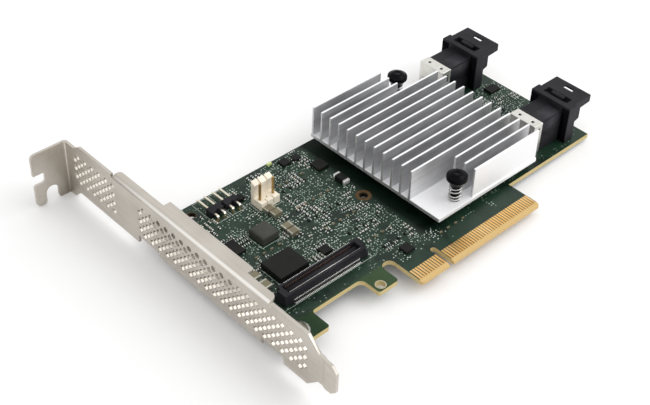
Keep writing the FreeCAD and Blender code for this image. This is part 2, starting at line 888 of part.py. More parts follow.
def two_ended(x, y, length, width, height, end, along_x, bottom=0.0):
    """Ceramic part lying on the board: its body, then the metal cap at each end."""
    if not along_x:
        length, width = width, length
    x0, x1 = x - length / 2, x + length / 2
    y0, y1 = y - width / 2, y + width / 2
    z0, z1 = bottom, bottom + height
    if along_x:
        body = box(x0 + end, x1 - end, y0, y1, z0, z1)
        caps = [box(x0, x0 + end, y0, y1, z0, z1), box(x1 - end, x1, y0, y1, z0, z1)]
    else:
        body = box(x0, x1, y0 + end, y1 - end, z0, z1)
        caps = [box(x0, x1, y0, y0 + end, z0, z1), box(x0, x1, y1 - end, y1, z0, z1)]
    return body, caps


def chip(x, y, length, width, bottom, height):
    return box(x - length / 2, x + length / 2, y - width / 2, y + width / 2, bottom, bottom + height)


def row_of(x, y, count, step_x, step_y):
    return [(x + index * step_x, y + index * step_y) for index in range(count)]


large_capacitor_places = [
    (34.6, 51.35, True), (35.0, 48.7, True), (33.4, 42.0, True), (33.4, 39.2, True),
    (12.8, 32.4, False), (12.8, 27.6, False),
]
small_chip_places = [
    (16.3, 45.3, 3.4, 6.0), (35.0, 27.6, 3.2, 3.0), (53.3, 12.6, 3.4, 3.2), (60.4, 57.3, 4.2, 4.2),
    (53.0, 65.4, 3.0, 3.0), (57.2, 64.8, 2.6, 2.6), (board_right - 5.1, 49.2, 4.6, 3.4),
    (31.6, 61.4, 2.2, 2.6),
]
small_capacitor_places = (
    row_of(18.4, 38.2, 4, 2.9, 0) + row_of(44.5, 58.0, 4, 3.0, 0) + row_of(42.0, 46.6, 5, 3.0, 0)
    + row_of(42.0, 34.4, 5, 2.8, 0) + row_of(47.5, 22.4, 4, 2.9, 0) + row_of(66.0, 11.0, 4, 3.2, 0)
)
small_resistor_places = (
    row_of(43.6, 55.2, 4, 2.9, 0) + row_of(40.6, 40.4, 5, 2.9, 0) + row_of(45.6, 28.4, 5, 2.9, 0)
    + row_of(49.0, 17.6, 4, 2.9, 0) + row_of(port_back + 3.2, 39.0, 4, 3.0, 0)
)
underside_capacitor_places = [
    (sink_middle_x + (column - 1.5) * underside_capacitor_pitch,
     sink_middle_y + (row - 1) * underside_capacitor_pitch)
    for row in range(3) for column in range(4)
]


# ---------------------------------------------------------------- build
os.makedirs("parts", exist_ok=True)

export("circuit_board", circuit_board())
export("edge_contacts_component_side", *edge_fingers(0))
export("edge_contacts_solder_side", *edge_fingers(-board_thickness - finger_thickness))
export("io_bracket", io_bracket())
export("bracket_screws", *[bracket_screw(x, y) for x, y in mount_places])

export("heatsink", heatsink())
export("thermal_pad", thermal_pad())
export("controller_chip", controller_chip())
for place, x, y in pin_places:
    export("push_pin_" + place, push_pin(x, y))
    export("pin_spring_" + place, pin_spring(x, y))

for place, centre in port_places:
    export("cable_port_" + place, cable_port(centre))
    export("port_contacts_" + place, *port_contacts(centre))
    export("port_shield_" + place, port_shield(centre))

export("cache_socket", cache_socket())
export("socket_contacts_near", *socket_contact_row(-1))
export("socket_contacts_far", *socket_contact_row(1))

for letter, start in zip("ab", jumper_xs):
    export("jumper_block_" + letter, jumper_block(start))
    export("jumper_pins_" + letter, jumper_pin(start), jumper_pin(start + pin_pitch))
export("alarm_header", alarm_header())
export("alarm_pins", *[alarm_pin(x) for x in alarm_pin_xs])

export("power_inductor", chamfered_block(*inductor_place, inductor_side, inductor_side,
                                         inductor_height, inductor_chamfer))
export("memory_chip", chamfered_block(*memory_place, memory_length, memory_width,
                                      memory_height, memory_chamfer))
export("small_chips", *[chamfered_block(x, y, length, width, small_chip_height, small_chip_chamfer)
                        for x, y, length, width in small_chip_places])
bead, bead_caps = two_ended(*bead_place, bead_length, bead_width, bead_height, bead_cap, False)
export("filter_bead", bead)
export("filter_bead_caps", *bead_caps)

large_capacitors = [two_ended(x, y, large_capacitor_length, large_capacitor_width, large_capacitor_height,
                              large_capacitor_cap, along) for x, y, along in large_capacitor_places]
export("large_capacitors", *[body for body, _ in large_capacitors])
export("large_capacitor_caps", *[cap for _, caps in large_capacitors for cap in caps])
export("small_capacitors", *[chip(x, y, small_part_length, small_part_width, 0, small_capacitor_height)
                             for x, y in small_capacitor_places])
export("small_resistors", *[chip(x, y, small_part_width, small_part_length, 0, small_resistor_height)
                            for x, y in small_resistor_places])
underside = -board_thickness - small_capacitor_height
export("underside_capacitors", *[chip(x, y, small_part_length, small_part_width, underside,
                                      small_capacitor_height) for x, y in underside_capacitor_places])
export("status_light", chip(*light_place, light_length, light_width, 0, light_height))
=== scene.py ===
import json
import logging
import math
from contextlib import contextmanager
from dataclasses import dataclass, field
from enum import Enum
from functools import cache, reduce
from typing import Iterator, Optional, Sequence

import bmesh
import bpy
import numpy as np
from mathutils import Matrix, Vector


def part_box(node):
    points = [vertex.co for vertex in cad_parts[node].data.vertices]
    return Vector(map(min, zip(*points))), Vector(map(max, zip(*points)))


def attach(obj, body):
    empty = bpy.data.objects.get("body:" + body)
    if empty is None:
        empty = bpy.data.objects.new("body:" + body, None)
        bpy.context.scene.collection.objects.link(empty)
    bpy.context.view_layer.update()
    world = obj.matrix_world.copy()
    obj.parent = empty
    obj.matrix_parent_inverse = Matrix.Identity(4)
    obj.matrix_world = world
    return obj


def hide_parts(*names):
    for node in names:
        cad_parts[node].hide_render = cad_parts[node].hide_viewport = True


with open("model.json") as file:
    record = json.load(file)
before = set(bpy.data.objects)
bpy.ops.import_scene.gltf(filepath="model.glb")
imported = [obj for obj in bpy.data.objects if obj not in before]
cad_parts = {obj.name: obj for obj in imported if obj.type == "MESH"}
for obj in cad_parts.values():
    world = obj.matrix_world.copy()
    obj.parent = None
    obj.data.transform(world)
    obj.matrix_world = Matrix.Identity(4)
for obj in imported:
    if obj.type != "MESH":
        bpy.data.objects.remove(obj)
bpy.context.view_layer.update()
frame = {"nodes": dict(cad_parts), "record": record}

# Looks of the controller card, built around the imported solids. Sizes in this file are millimetres in the
# card's own layout: X from the bracket's outer face, Y from the finger tips, Z from the component face.

log = logging.getLogger("controller_card")

MM = 0.001
BOARD_LEFT_X = 1.9
SEED = 20
WHITE = (1.0, 1.0, 1.0, 1.0)
STANDOFF_HOLE = (60.9, 38.15)
TOOLING_HOLE = (16.0, 64.9)
TAB_HOLE = (37.4, 7.3)
FOOT_SCREW = (8.7, 9.7)
TOP_SCREW = (8.7, 64.3)

Socket = bpy.types.NodeSocket
Tree = bpy.types.NodeTree
Mesh = bpy.types.Mesh
Material = bpy.types.Material
Piece = bpy.types.Object
Array = np.ndarray
Pair = tuple[float, float]
Triple = tuple[float, float, float]
Colour = Triple


class Side(str, Enum):
    """Which of two like pieces: the one nearer to the edge connector, or the other."""

    NEAR = "near"
    FAR = "far"


# ---- layout
@dataclass(frozen=True)
class Layout:
    """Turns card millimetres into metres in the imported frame."""

    # What is added, in metres, to a place given from the bracket face, finger tips and board face.
    shift: Array

    @classmethod
    def from_frame(cls) -> "Layout":
        """Puts the layout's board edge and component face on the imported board's."""
        low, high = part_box("circuit_board")
        return cls(np.array([low.x - BOARD_LEFT_X * MM, 0.0, high.z]))

    def metres(self, points: Array) -> Array:
        """Converts points of shape (..., 3) from card millimetres to frame metres."""
        return np.asarray(points, float) * MM + self.shift

    def box(self, node: str) -> tuple[Array, Array]:
        """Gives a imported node's lowest and highest corners in card millimetres."""
        low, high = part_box(node)
        return (np.array(low) - self.shift) / MM, (np.array(high) - self.shift) / MM


layout = Layout.from_frame()


# ---- shader nodes
class Nodes:
    """Adds nodes to a tree and feeds their sockets."""

    def __init__(self, tree: Tree) -> None:
        """Takes the tree that the nodes go into."""
        self.tree = tree

    def feed(self, socket: Socket, value: object) -> None:
        """Links a socket to another, or sets its plain value.

        Args:
            socket: the input to feed.
            value: an output socket or a plain value.
        """
        if isinstance(value, bpy.types.NodeSocket):
            self.tree.links.new(value, socket)
        else:
            socket.default_value = value

    def node(self, kind: str, **inputs: object) -> bpy.types.Node:
        """Adds a node and feeds its inputs.

        Args:
            kind: the node's type.
            inputs: what feeds each input, named with _ for a space.

        Returns:
            The new node.
        """
        made = self.tree.nodes.new(kind)
        for label, value in inputs.items():
            self.feed(made.inputs[label.replace("_", " ")], value)
        return made

    def calc(self, operation: str, first: object, second: object = 0.0) -> Socket:
        """Adds one step of arithmetic.

        Args:
            operation: the Math node's operation.
            first: a value or socket.
            second: another, where the operation takes two.

        Returns:
            The result.
        """
        made = self.node("ShaderNodeMath")
        made.operation = operation
        self.feed(made.inputs[0], first)
        self.feed(made.inputs[1], second)
        return made.outputs[0]

    def times(self, *values: object) -> Socket:
        """Product of two or more values or sockets."""
        return reduce(lambda total, value: self.calc("MULTIPLY", total, value), values)

    def without(self, mask: Socket) -> Socket:
        """One less a mask."""
        return self.calc("SUBTRACT", 1.0, mask)


class Effect(Enum):
    """Effects that finishes share: inputs of a fine noise for height, and of a broad one for patches."""

    FINE_GRAIN = ({"Detail": 3.0}, {"Scale": 90.0, "Detail": 4.0})
    DRAWN_LINES = ({"Detail": 5.0, "Roughness": 0.7}, {"Scale": 0.35, "Detail": 3.0})

    @cache
    def group(self) -> Tree:
        """Builds the effect's node group once.

        Returns:
            The group, with inputs Vector and Scale, for the fine noise, and outputs Height and Patch.
        """
        tree = bpy.data.node_groups.new(self.name.lower(), "ShaderNodeTree")
        for label, way, kind in (("Vector", "INPUT", "Vector"), ("Scale", "INPUT", "Float"),
                                 ("Height", "OUTPUT", "Float"), ("Patch", "OUTPUT", "Float")):
            tree.interface.new_socket(name=label, in_out=way, socket_type="NodeSocket" + kind)
        fine, broad = self.value
        nodes = Nodes(tree)
        start = nodes.node("NodeGroupInput").outputs
        height = nodes.node("ShaderNodeTexNoise", Vector=start["Vector"], Scale=start["Scale"], **fine)
        patch = nodes.node("ShaderNodeTexNoise", Vector=start["Vector"], **broad)
        nodes.node("NodeGroupOutput", Height=height.outputs["Fac"], Patch=patch.outputs["Fac"])
        return tree


class Paint(Nodes):
    """Builds one node material: coordinates, textures and masks that feed a Principled surface."""

    def __init__(self, name: str) -> None:
        """Makes an empty material with a Principled surface and Object coordinates.

        Args:
            name: the material's name.
        """
        self.material = bpy.data.materials.new(name)
        self.material.use_nodes = True
        super().__init__(self.material.node_tree)
        self.surface = self.tree.nodes["Principled BSDF"]
        self.place = self.node("ShaderNodeTexCoord").outputs["Object"]

    def dress(self, **inputs: object) -> None:
        """Feeds the surface's inputs, named with _ for a space."""
        for label, value in inputs.items():
            self.feed(self.surface.inputs[label.replace("_", " ")], value)

    def stretched(self, x: float, y: float, z: float, turn: float = 0.0) -> Socket:
        """Object coordinates scaled along each axis, after a turn about Z in degrees."""
        return self.node("ShaderNodeMapping", Vector=self.place, Scale=(x, y, z),
                         Rotation=(0.0, 0.0, math.radians(turn))).outputs["Vector"]

    def band(self, value: Socket, low: float, high: float, start: float = 0.0, end: float = 1.0) -> Socket:
        """Maps low..high of a value to start..end, held flat outside."""
        return self.node("ShaderNodeMapRange", Value=value, From_Min=low, From_Max=high, To_Min=start,
                         To_Max=end).outputs["Result"]

    def fade(self, place: Socket, reach: Pair, start: float = 0.0, end: float = 1.0) -> Socket:
        """Maps a stretch along an axis, given in millimetres, to start..end, held flat outside."""
        return self.band(place, reach[0] * MM, reach[1] * MM, start, end)

    def below(self, place: Socket, limit: float) -> Socket:
        """A mask that is 1 below a limit along an axis, given in millimetres."""
        return self.calc("LESS_THAN", place, limit * MM)

    def blend(self, mask: object, first: object, second: object) -> Socket:
        """Mixes two colours.

        Args:
            mask: 0 for the first colour, 1 for the second.
            first: a colour or socket.
            second: another.

        Returns:
            The mixed colour.
        """
        made = self.node("ShaderNodeMix")
        made.data_type = "RGBA"
        for number, value in ((0, mask), (6, first), (7, second)):
            self.feed(made.inputs[number], (*value, 1.0) if isinstance(value, tuple) else value)
        return made.outputs[2]

    def effect(self, effect: Effect, vector: Socket, scale: float) -> tuple[Socket, Socket]:
        """Places a shared effect.

        Args:
            effect: which one.
            vector: the coordinates that it works on.
            scale: how fine it is.

        Returns:
            Its height and its patch mask.
        """
        made = self.node("ShaderNodeGroup")
        made.node_tree = effect.group()
        self.feed(made.inputs["Vector"], vector)
        self.feed(made.inputs["Scale"], scale)
        return made.outputs["Height"], made.outputs["Patch"]

    def parts(self, vector: Socket) -> tuple[Socket, Socket, Socket]:
        """A vector's X, Y and Z."""
        return tuple(self.node("ShaderNodeSeparateXYZ", Vector=vector).outputs)

    def facing(self) -> tuple[Socket, Socket, Socket]:
        """The way the surface looks, along X, Y and Z."""
        return self.parts(self.node("ShaderNodeNewGeometry").outputs["Normal"])

    def board_x(self, x: Socket) -> Socket:
        """A place along X measured from the bracket's outer face, in metres."""
        return self.calc("SUBTRACT", x, float(layout.shift[0]))

    def relief(self, height: Socket, strength: float, depth: float) -> None:
        """Bumps the surface by a height, depth in millimetres."""
        bump = self.node("ShaderNodeBump", Height=height, Strength=strength, Distance=depth * MM)
        self.dress(Normal=bump.outputs["Normal"])


# ---- finishes
@dataclass(frozen=True)
class Finish:
    """What every finish has."""

    name: str  # the material's name

    def build(self) -> Material:
        """Builds the material; each kind of finish does it in its own way."""
        raise NotImplementedError


@dataclass(frozen=True)
class Moulded(Finish):
    """Moulded plastic, ceramic or rubber: a colour that drifts a little, with a fine bumpy grain."""

    dark: Colour  # colour of the darker patches
    light: Colour  # colour of the lighter patches
    roughness: float = 0.5
    grain_scale: float = 4000.0  # how fine the grain is
    grain_depth: float = 0.02  # height of the grain in millimetres
    gloss: float = 0.4  # strength of the mirror-like part of the surface
    drift: float = 0.08  # how far the roughness drifts either way

    def build(self) -> Material:
        """Builds the finish.

        Returns:
            The material.
        """
        paint = Paint(self.name)
        height, patch = paint.effect(Effect.FINE_GRAIN, paint.place, self.grain_scale)
        paint.dress(Base_Color=paint.blend(paint.band(patch, 0.35, 0.65), self.dark, self.light),
                    Roughness=paint.band(height, 0.3, 0.7, self.roughness - self.drift,
                                         self.roughness + self.drift),
                    Specular_IOR_Level=self.gloss)
        paint.relief(height, 0.5, self.grain_depth)
        return paint.material


class Grain(Enum):
    """Which way a metal was rolled or drawn: how much its noise is stretched along X, Y and Z."""

    ALONG_X = (12.0, 700.0, 700.0)
    ALONG_Y = (700.0, 14.0, 700.0)
    EVEN = (900.0, 900.0, 900.0)


@dataclass(frozen=True)
class Metal(Finish):
    """Bare or plated metal with drawn lines and softly drifting colour and gloss."""

    dark: Colour  # colour of the duller patches
    light: Colour  # colour of the brighter patches
    roughness: float = 0.35
    grain: Grain = Grain.EVEN  # direction of the drawn lines
    relief_depth: float = 0.01  # height of the lines in millimetres
    metallic: float = 1.0  # how metallic the surface is
    patch_scale: float = 900.0  # how fine the grain between the patches is

    def painted(self) -> tuple[Paint, Socket]:
        """Lays the drawn lines, the gloss and the drifting colour.

        Returns:
            The material being built and its colour.
        """
        paint = Paint(self.name)
        lines, _ = paint.effect(Effect.DRAWN_LINES, paint.stretched(*self.grain.value), 1.0)
        _, patch = paint.effect(Effect.FINE_GRAIN, paint.place, self.patch_scale)
        shade = paint.calc("ADD", paint.times(lines, 0.5), paint.times(patch, 0.5))
        colour = paint.blend(paint.band(shade, 0.4, 0.6), self.dark, self.light)
        paint.dress(Base_Color=colour, Metallic=self.metallic,
                    Roughness=paint.band(lines, 0.3, 0.7, self.roughness - 0.07, self.roughness + 0.09))
        paint.relief(lines, 0.35, self.relief_depth)
        return paint, colour

    def build(self) -> Material:
        """Gives the finished material."""
        return self.painted()[0].material


@dataclass(frozen=True)
class Extrusion(Metal):
    """Drawn metal with a painted highlight: faces that look up, and the outermost side, are painted paler and
    less metallic.
    """

    highlight_colour: Colour = (0.92, 0.92, 0.93)  # painted highlight colour of the faces that look up and of the outermost side
    highlight_metallic: float = 0.3  # how metallic the faces with the painted highlight are
    side_end: float = 14.5  # how far in from the finger tips the outermost side reaches, in millimetres
    straight: float = 0.9  # how squarely a face has to look up or outwards to get the painted highlight

    def build(self) -> Material:
        """Builds the finish.

        Returns:
            The material.
        """
        paint, drawn = self.painted()
        _, y, _ = paint.parts(paint.place)
        _, sideways, upward = paint.facing()
        # Painted highlight: faces that look up, and the outermost side, get a pale, less metallic colour for
        # the light falling on them.
        outer = paint.times(paint.below(y, self.side_end), paint.calc("LESS_THAN", sideways, -self.straight))
        highlight_mask = paint.calc("MAXIMUM", paint.calc("GREATER_THAN", upward, self.straight), outer)
        paint.dress(Base_Color=paint.blend(highlight_mask, drawn, self.highlight_colour),
                    Metallic=paint.band(highlight_mask, 0.0, 1.0, self.metallic, self.highlight_metallic))
        return paint.material


@dataclass(frozen=True)
class FormedSheet(Metal):
    """Rolled sheet with a painted highlight along its bends and painted shade on its screw tab toward the
    fold.
    """

    bend_highlight: Colour = (0.98, 0.95, 0.90)  # painted highlight colour of the bends
    tab_shade: Colour = (0.30, 0.27, 0.23)  # painted shade colour of the tab by its fold
    slants: Pair = (0.60, 0.95)  # slant at which a face starts to count as a bend, and fully does
    tab_start: float = 104.4  # where the tab begins along Y
    tab_reach: Pair = (-9.0, -1.0)  # where along X the painted shade sets in, and is full
    tab_heights: Pair = (-4.0, 13.0)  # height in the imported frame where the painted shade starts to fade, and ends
    tab_shade_strength: float = 0.8  # strength of the painted shade

    def build(self) -> Material:
        """Builds the finish. A face's slant is twice its outward part times its upward part.

        Returns:
            The material.
        """
        paint, drawn = self.painted()
        along, _, upward = paint.facing()
        slant = paint.times(along, -2.0, upward)
        x, y, z = paint.parts(paint.place)
        off_tab = paint.below(y, self.tab_start)
        # Painted shade on the screw tab, darkest toward its fold and toward the bottom.
        patch = paint.times(paint.without(off_tab), paint.fade(paint.board_x(x), self.tab_reach),
                            paint.fade(z, self.tab_heights, 1.0, 0.0), self.tab_shade_strength)
        colour = paint.blend(patch, drawn, self.tab_shade)
        # Painted highlight along the bends, off the tab.
        bend = paint.times(paint.band(slant, *self.slants), off_tab)
        paint.dress(Base_Color=paint.blend(bend, colour, self.bend_highlight))
        return paint.material


@dataclass(frozen=True)
class SolderMask(Finish):
    """Board finish: green mask with tracks under it, pale vias, bare laminate on the cut edges, and a painted
    shadow of the heatsink on the via-free strip beside it.
    """

    name: str = "solder_mask_board"
    mask: Colour = (0.0055, 0.0175, 0.0105)  # over bare laminate
    copper: Colour = (0.0135, 0.0380, 0.0215)  # the mask over copper
    via: Colour = (0.26, 0.33, 0.28)
    laminate: Colour = (0.64, 0.49, 0.25)  # cut edges
    old_laminate: Colour = (0.50, 0.43, 0.20)  # darker layers in the cut edges
    bevel: Colour = (0.62, 0.43, 0.18)
    bevel_end: float = 1.45  # how far up from the finger tips the bare bevel reaches
    finger_end: float = 12.5  # how far up the fingers reach; vias lie above
    clear_mask: Colour = (0.035, 0.075, 0.020)  # where no copper lies under it, on the tab and the foot
    clear_fade: Pair = (12.0, 13.5)  # where along Y the clear mask starts to fade, and ends
    clear_end: float = -15.0  # where it ends along X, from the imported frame's origin
    foot_tone: Pair = (-46.0, -38.0)  # where along the same X the foot's darker mask passes to the tab's
    foot_gloss: Pair = (-45.0, -41.0)  # where the foot's less glossy surface passes to the tab's
    via_free_shadow: Colour = (0.001, 0.002, 0.0015)  # painted shadow colour of the heatsink on the strip beside it, which is also free of vias
    via_free_shadow_x: Pair = (60.8, 63.4)  # where along X that strip sets in, and is full
    via_free_shadow_end: float = 70.0
    via_free_shadow_y: Pair = (12.0, 16.0)  # where along Y it sets in, and is full
    shadow_and_foot_share: float = 0.75  # how much of the painted shadow's colour shows, and how much of the foot's gloss is lost

    def tracks(self, paint: Paint) -> Socket:
        """Bands of fine parallel tracks at three angles, each kept to its own patches.

        Args:
            paint: the material being built.

        Returns:
            A mask that is 1 on a track.
        """
        pick = paint.node("ShaderNodeSeparateColor")
        paint.feed(pick.inputs[0], paint.node("ShaderNodeTexVoronoi", Vector=paint.place,
                                              Scale=150.0).outputs["Color"])
        total: Optional[Socket] = None
        for turn, channel, low in ((0.0, 0, 0.55), (90.0, 1, 0.6), (45.0, 2, 0.6)):
            wave = paint.node("ShaderNodeTexWave", Vector=paint.stretched(1.0, 1.0, 0.0, turn), Scale=560.0,
                              Distortion=0.0)
            kept = paint.times(paint.band(wave.outputs["Fac"], 0.45, 0.62),
                               paint.calc("GREATER_THAN", pick.outputs[channel], low))
            total = kept if total is None else paint.calc("MAXIMUM", total, kept)
        return total

    def dots(self, paint: Paint, y: Socket, via_free_shadow: Socket) -> Socket:
        """Small round vias in drifts, above the fingers and outside the via-free strip beside the heatsink.

        Args:
            paint: the material being built.
            y: place along Y.
            via_free_shadow: mask of the via-free strip that carries the painted shadow.

        Returns:
            A mask that is 1 on a via.
        """
        cells = paint.node("ShaderNodeTexVoronoi", Vector=paint.stretched(1.0, 1.0, 0.0), Scale=1050.0)
        cluster = paint.node("ShaderNodeTexNoise", Vector=paint.place, Scale=210.0, Detail=1.0)
        return paint.times(paint.calc("LESS_THAN", cells.outputs["Distance"], 0.22),
                           paint.band(cluster.outputs["Fac"], 0.47, 0.53),
                           paint.without(paint.below(y, self.finger_end)), paint.without(via_free_shadow))

    def cut_edge(self, paint: Paint, on_bevel: Socket) -> Socket:
        """Laminate in thin layers, and the bevel's own colour.

        Args:
            paint: the material being built.
            on_bevel: mask of the bevel.

        Returns:
            The colour of the bare faces.
        """
        layers = paint.node("ShaderNodeTexNoise", Vector=paint.stretched(150.0, 150.0, 4200.0), Scale=1.0)
        layered = paint.blend(paint.band(layers.outputs["Fac"], 0.35, 0.65), self.laminate, self.old_laminate)
        return paint.blend(on_bevel, layered, self.bevel)

    def build(self) -> Material:
        """Builds the finish.

        Returns:
            The material.
        """
        paint = Paint(self.name)
        x, y, _ = paint.parts(paint.place)
        board_x = paint.board_x(x)
        on_bevel = paint.below(y, self.bevel_end)
        on_edge = paint.calc("LESS_THAN", paint.calc("ABSOLUTE", paint.facing()[2]), 0.5)
        bare = paint.calc("MAXIMUM", on_edge, on_bevel)
        # A strip beside the heatsink without vias, painted almost black and less glossy as the heatsink's
        # shadow.
        via_free_shadow = paint.times(paint.fade(board_x, self.via_free_shadow_x), paint.below(board_x, self.via_free_shadow_end),
                            paint.fade(y, self.via_free_shadow_y))
        pour = paint.node("ShaderNodeTexNoise", Vector=paint.place, Scale=120.0, Detail=2.0).outputs["Fac"]
        copper = paint.calc("MAXIMUM", self.tracks(paint), paint.band(pour, 0.52, 0.56, 0.0, 0.7))
        dots = self.dots(paint, y, via_free_shadow)
        colour = paint.blend(dots, paint.blend(copper, self.mask, self.copper), self.via)
        clear = paint.times(paint.fade(y, self.clear_fade, 1.0, 0.0), paint.below(x, self.clear_end))
        tone = paint.fade(x, self.foot_tone, 0.3, 0.7)
        colour = paint.blend(paint.times(clear, tone), colour, self.clear_mask)
        # Painted shadow of the heatsink on that strip.
        colour = paint.blend(paint.times(via_free_shadow, self.shadow_and_foot_share), colour, self.via_free_shadow)
        on_foot = paint.times(paint.fade(x, self.foot_gloss, 1.0, 0.0), clear, self.shadow_and_foot_share)
        paint.dress(Base_Color=paint.blend(bare, colour, self.cut_edge(paint, on_bevel)),
                    Roughness=paint.band(bare, 0.0, 1.0, 0.34, 0.75),
                    Specular_IOR_Level=paint.band(paint.calc("MAXIMUM", via_free_shadow, on_foot), 0.0, 1.0, 0.3, 0.06))
        paint.relief(paint.times(paint.calc("ADD", copper, dots), paint.without(bare)), 0.6, 0.03)
        return paint.material


@cache
def material_of(finish: Finish) -> Material:
    """Builds a finish's material once."""
    return finish.build()


# The finish of each of the record's slots.
SLOTS: dict[str, Finish] = {
    "solder_mask": SolderMask(),
    "gold_plating": Metal("gold_plating_polished", (0.80, 0.47, 0.15), (0.92, 0.62, 0.28), 0.3,
                          Grain.ALONG_Y, 0.004),
    "bracket_metal": FormedSheet("nickel_plate_satin", (0.57, 0.525, 0.47), (0.67, 0.63, 0.57), 0.40,
                                 Grain.ALONG_Y, 0.006),
    "fastener_metal": Metal("zinc_plate", (0.15, 0.14, 0.11), (0.30, 0.28, 0.23), 0.35),
    "heatsink_metal": Extrusion("aluminium_extruded", (0.60, 0.60, 0.61), (0.79, 0.79, 0.80), 0.54,
                                Grain.ALONG_X, 0.008),
    "thermal_compound": Moulded("thermal_pad_grey", (0.32, 0.32, 0.31), (0.42, 0.42, 0.40), 0.8),
    "chip_package": Moulded("chip_moulding_black", (0.006, 0.006, 0.006), (0.012, 0.013, 0.011), 0.5,
                            gloss=0.16),
    "black_plastic": Moulded("nylon_black", (0.002, 0.002, 0.003), (0.005, 0.005, 0.006), 0.2,
                             gloss=0.06),
    "spring_steel": Metal("spring_wire", (0.55, 0.55, 0.54), (0.80, 0.80, 0.78), 0.25),
    "port_plastic": Moulded("port_plastic_charcoal", (0.013, 0.0125, 0.0155), (0.024, 0.0235, 0.028),
                            0.45, gloss=0.13),
    "shield_metal": Metal("tin_plate_pale", (0.74, 0.73, 0.68), (0.88, 0.87, 0.82), 0.38),
    "tin_plating": Metal("tin_plate_dull", (0.36, 0.35, 0.29), (0.60, 0.59, 0.51), 0.42),
    "pin_metal": Metal("pin_gold_flash", (0.74, 0.68, 0.52), (0.92, 0.88, 0.76), 0.3),
    "cream_plastic": Moulded("nylon_cream", (0.86, 0.77, 0.62), (0.96, 0.89, 0.76), 0.45),
    "inductor_body": Moulded("ferrite_grey", (0.030, 0.030, 0.025), (0.062, 0.062, 0.053), 0.6,
                             gloss=0.2),
    "capacitor_ceramic": Moulded("capacitor_khaki", (0.125, 0.108, 0.066), (0.215, 0.190, 0.120), 0.45),
    "light_lens": Moulded("lens_pale_green", (0.48, 0.56, 0.18), (0.66, 0.74, 0.34), 0.2),
}

# Finishes that only some of the added pieces have.
LEGEND_INK = Moulded("legend_ink_pale", (0.42, 0.46, 0.42), (0.60, 0.64, 0.60), 0.6)
TENTED_VIA = Moulded("via_pale_green", (0.30, 0.40, 0.32), (0.66, 0.75, 0.66), 0.4)
BARE_RING = Moulded("ring_bare_laminate", (0.085, 0.050, 0.020), (0.135, 0.083, 0.036), 0.55, gloss=0.15)
# Lining of the open holes: a plated barrel, painted near black as the shade inside the hole.
DARK_BARREL = Moulded("hole_barrel_painted_shade", (0.020, 0.014, 0.008), (0.034, 0.024, 0.013), 0.6, gloss=0.1)
AGED_PIN = Metal("pin_brass_brown", (0.34, 0.21, 0.07), (0.52, 0.35, 0.14), 0.4, metallic=0.6)
PALE_RING = Moulded("ring_pale_tan", (0.38, 0.33, 0.20), (0.52, 0.46, 0.31), 0.5)
BRIGHT_CONTACT = Metal("contact_tin_bright", (0.80, 0.80, 0.77), (0.97, 0.97, 0.94), 0.4, metallic=0.5)
# Brownish contact metal darkened with painted shade, for the contacts inside the socket's slot.
INNER_CONTACT = Metal("contact_brown_painted_shade", (0.09, 0.055, 0.045), (0.17, 0.105, 0.085), 0.5, metallic=0.5)
# Plastic a little paler than the port's body, for its raised panels.
PALE_PORT = Moulded("port_plastic_paler", (0.030, 0.029, 0.035), (0.044, 0.043, 0.050), 0.5, gloss=0.16)
# Near-black plates that stand for painted shade on the cable ports' collars.
PORT_SHADE_PLATES = Moulded("port_plastic_recess", (0.002, 0.002, 0.003), (0.004, 0.004, 0.005), 0.8, gloss=0.03)
FAR_CONTACT = Metal("contact_tin_shaded", (0.34, 0.33, 0.31), (0.58, 0.57, 0.54), 0.4)


# ---- mesh makers
@contextmanager
def editing(mesh: Mesh) -> Iterator[bmesh.types.BMesh]:
    """Opens a mesh for editing and writes it back afterwards.

    Args:
        mesh: what to edit.

    Yields:
        Its editable form.
    """
    work = bmesh.new()
    work.from_mesh(mesh)
    yield work
    work.to_mesh(mesh)
    work.free()


def smooth_by_angle(mesh: Mesh, limit: float = 0.7) -> None:
    """Shades faces smooth and keeps sharp edges hard.

    Args:
        mesh: what to shade.
        limit: angle between two faces, in radians, from which their edge is hard.
    """
    with editing(mesh) as work:
        for face in work.faces:
            face.smooth = True
        for edge in work.edges:
            edge.smooth = edge.calc_face_angle(0.0) < limit


def close_ends(mesh: Mesh) -> None:
    """Closes the open rims of a swept surface and turns its faces outwards.

    Args:
        mesh: what to close.
    """
    with editing(mesh) as work:
        bmesh.ops.holes_fill(work, edges=[edge for edge in work.edges if edge.is_boundary])
        bmesh.ops.recalc_face_normals(work, faces=work.faces)


def linked(name: str, data: object) -> bpy.types.Object:
    """Makes an object and links it to the scene.

    Args:
        name: the object's name.
        data: its mesh, camera or lamp.

    Returns:
        The object.
    """
    made = bpy.data.objects.new(name, data)
    bpy.context.scene.collection.objects.link(made)
    return made


def adopt(name: str, mesh: Mesh, slot: str, spec: Optional[Finish] = None) -> Piece:
    """Makes a mesh into a piece that is dressed and rides on the card.

    Args:
        name: the piece's name.
        mesh: its mesh, in frame metres.
        slot: the record's slot.
        spec: a finish of its own, in place of the slot's.

    Returns:
        The piece.
    """
    piece = linked(name, mesh)
    mesh.materials.clear()
    mesh.materials.append(material_of(spec or SLOTS[slot]))
    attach(piece, "root")
    return piece


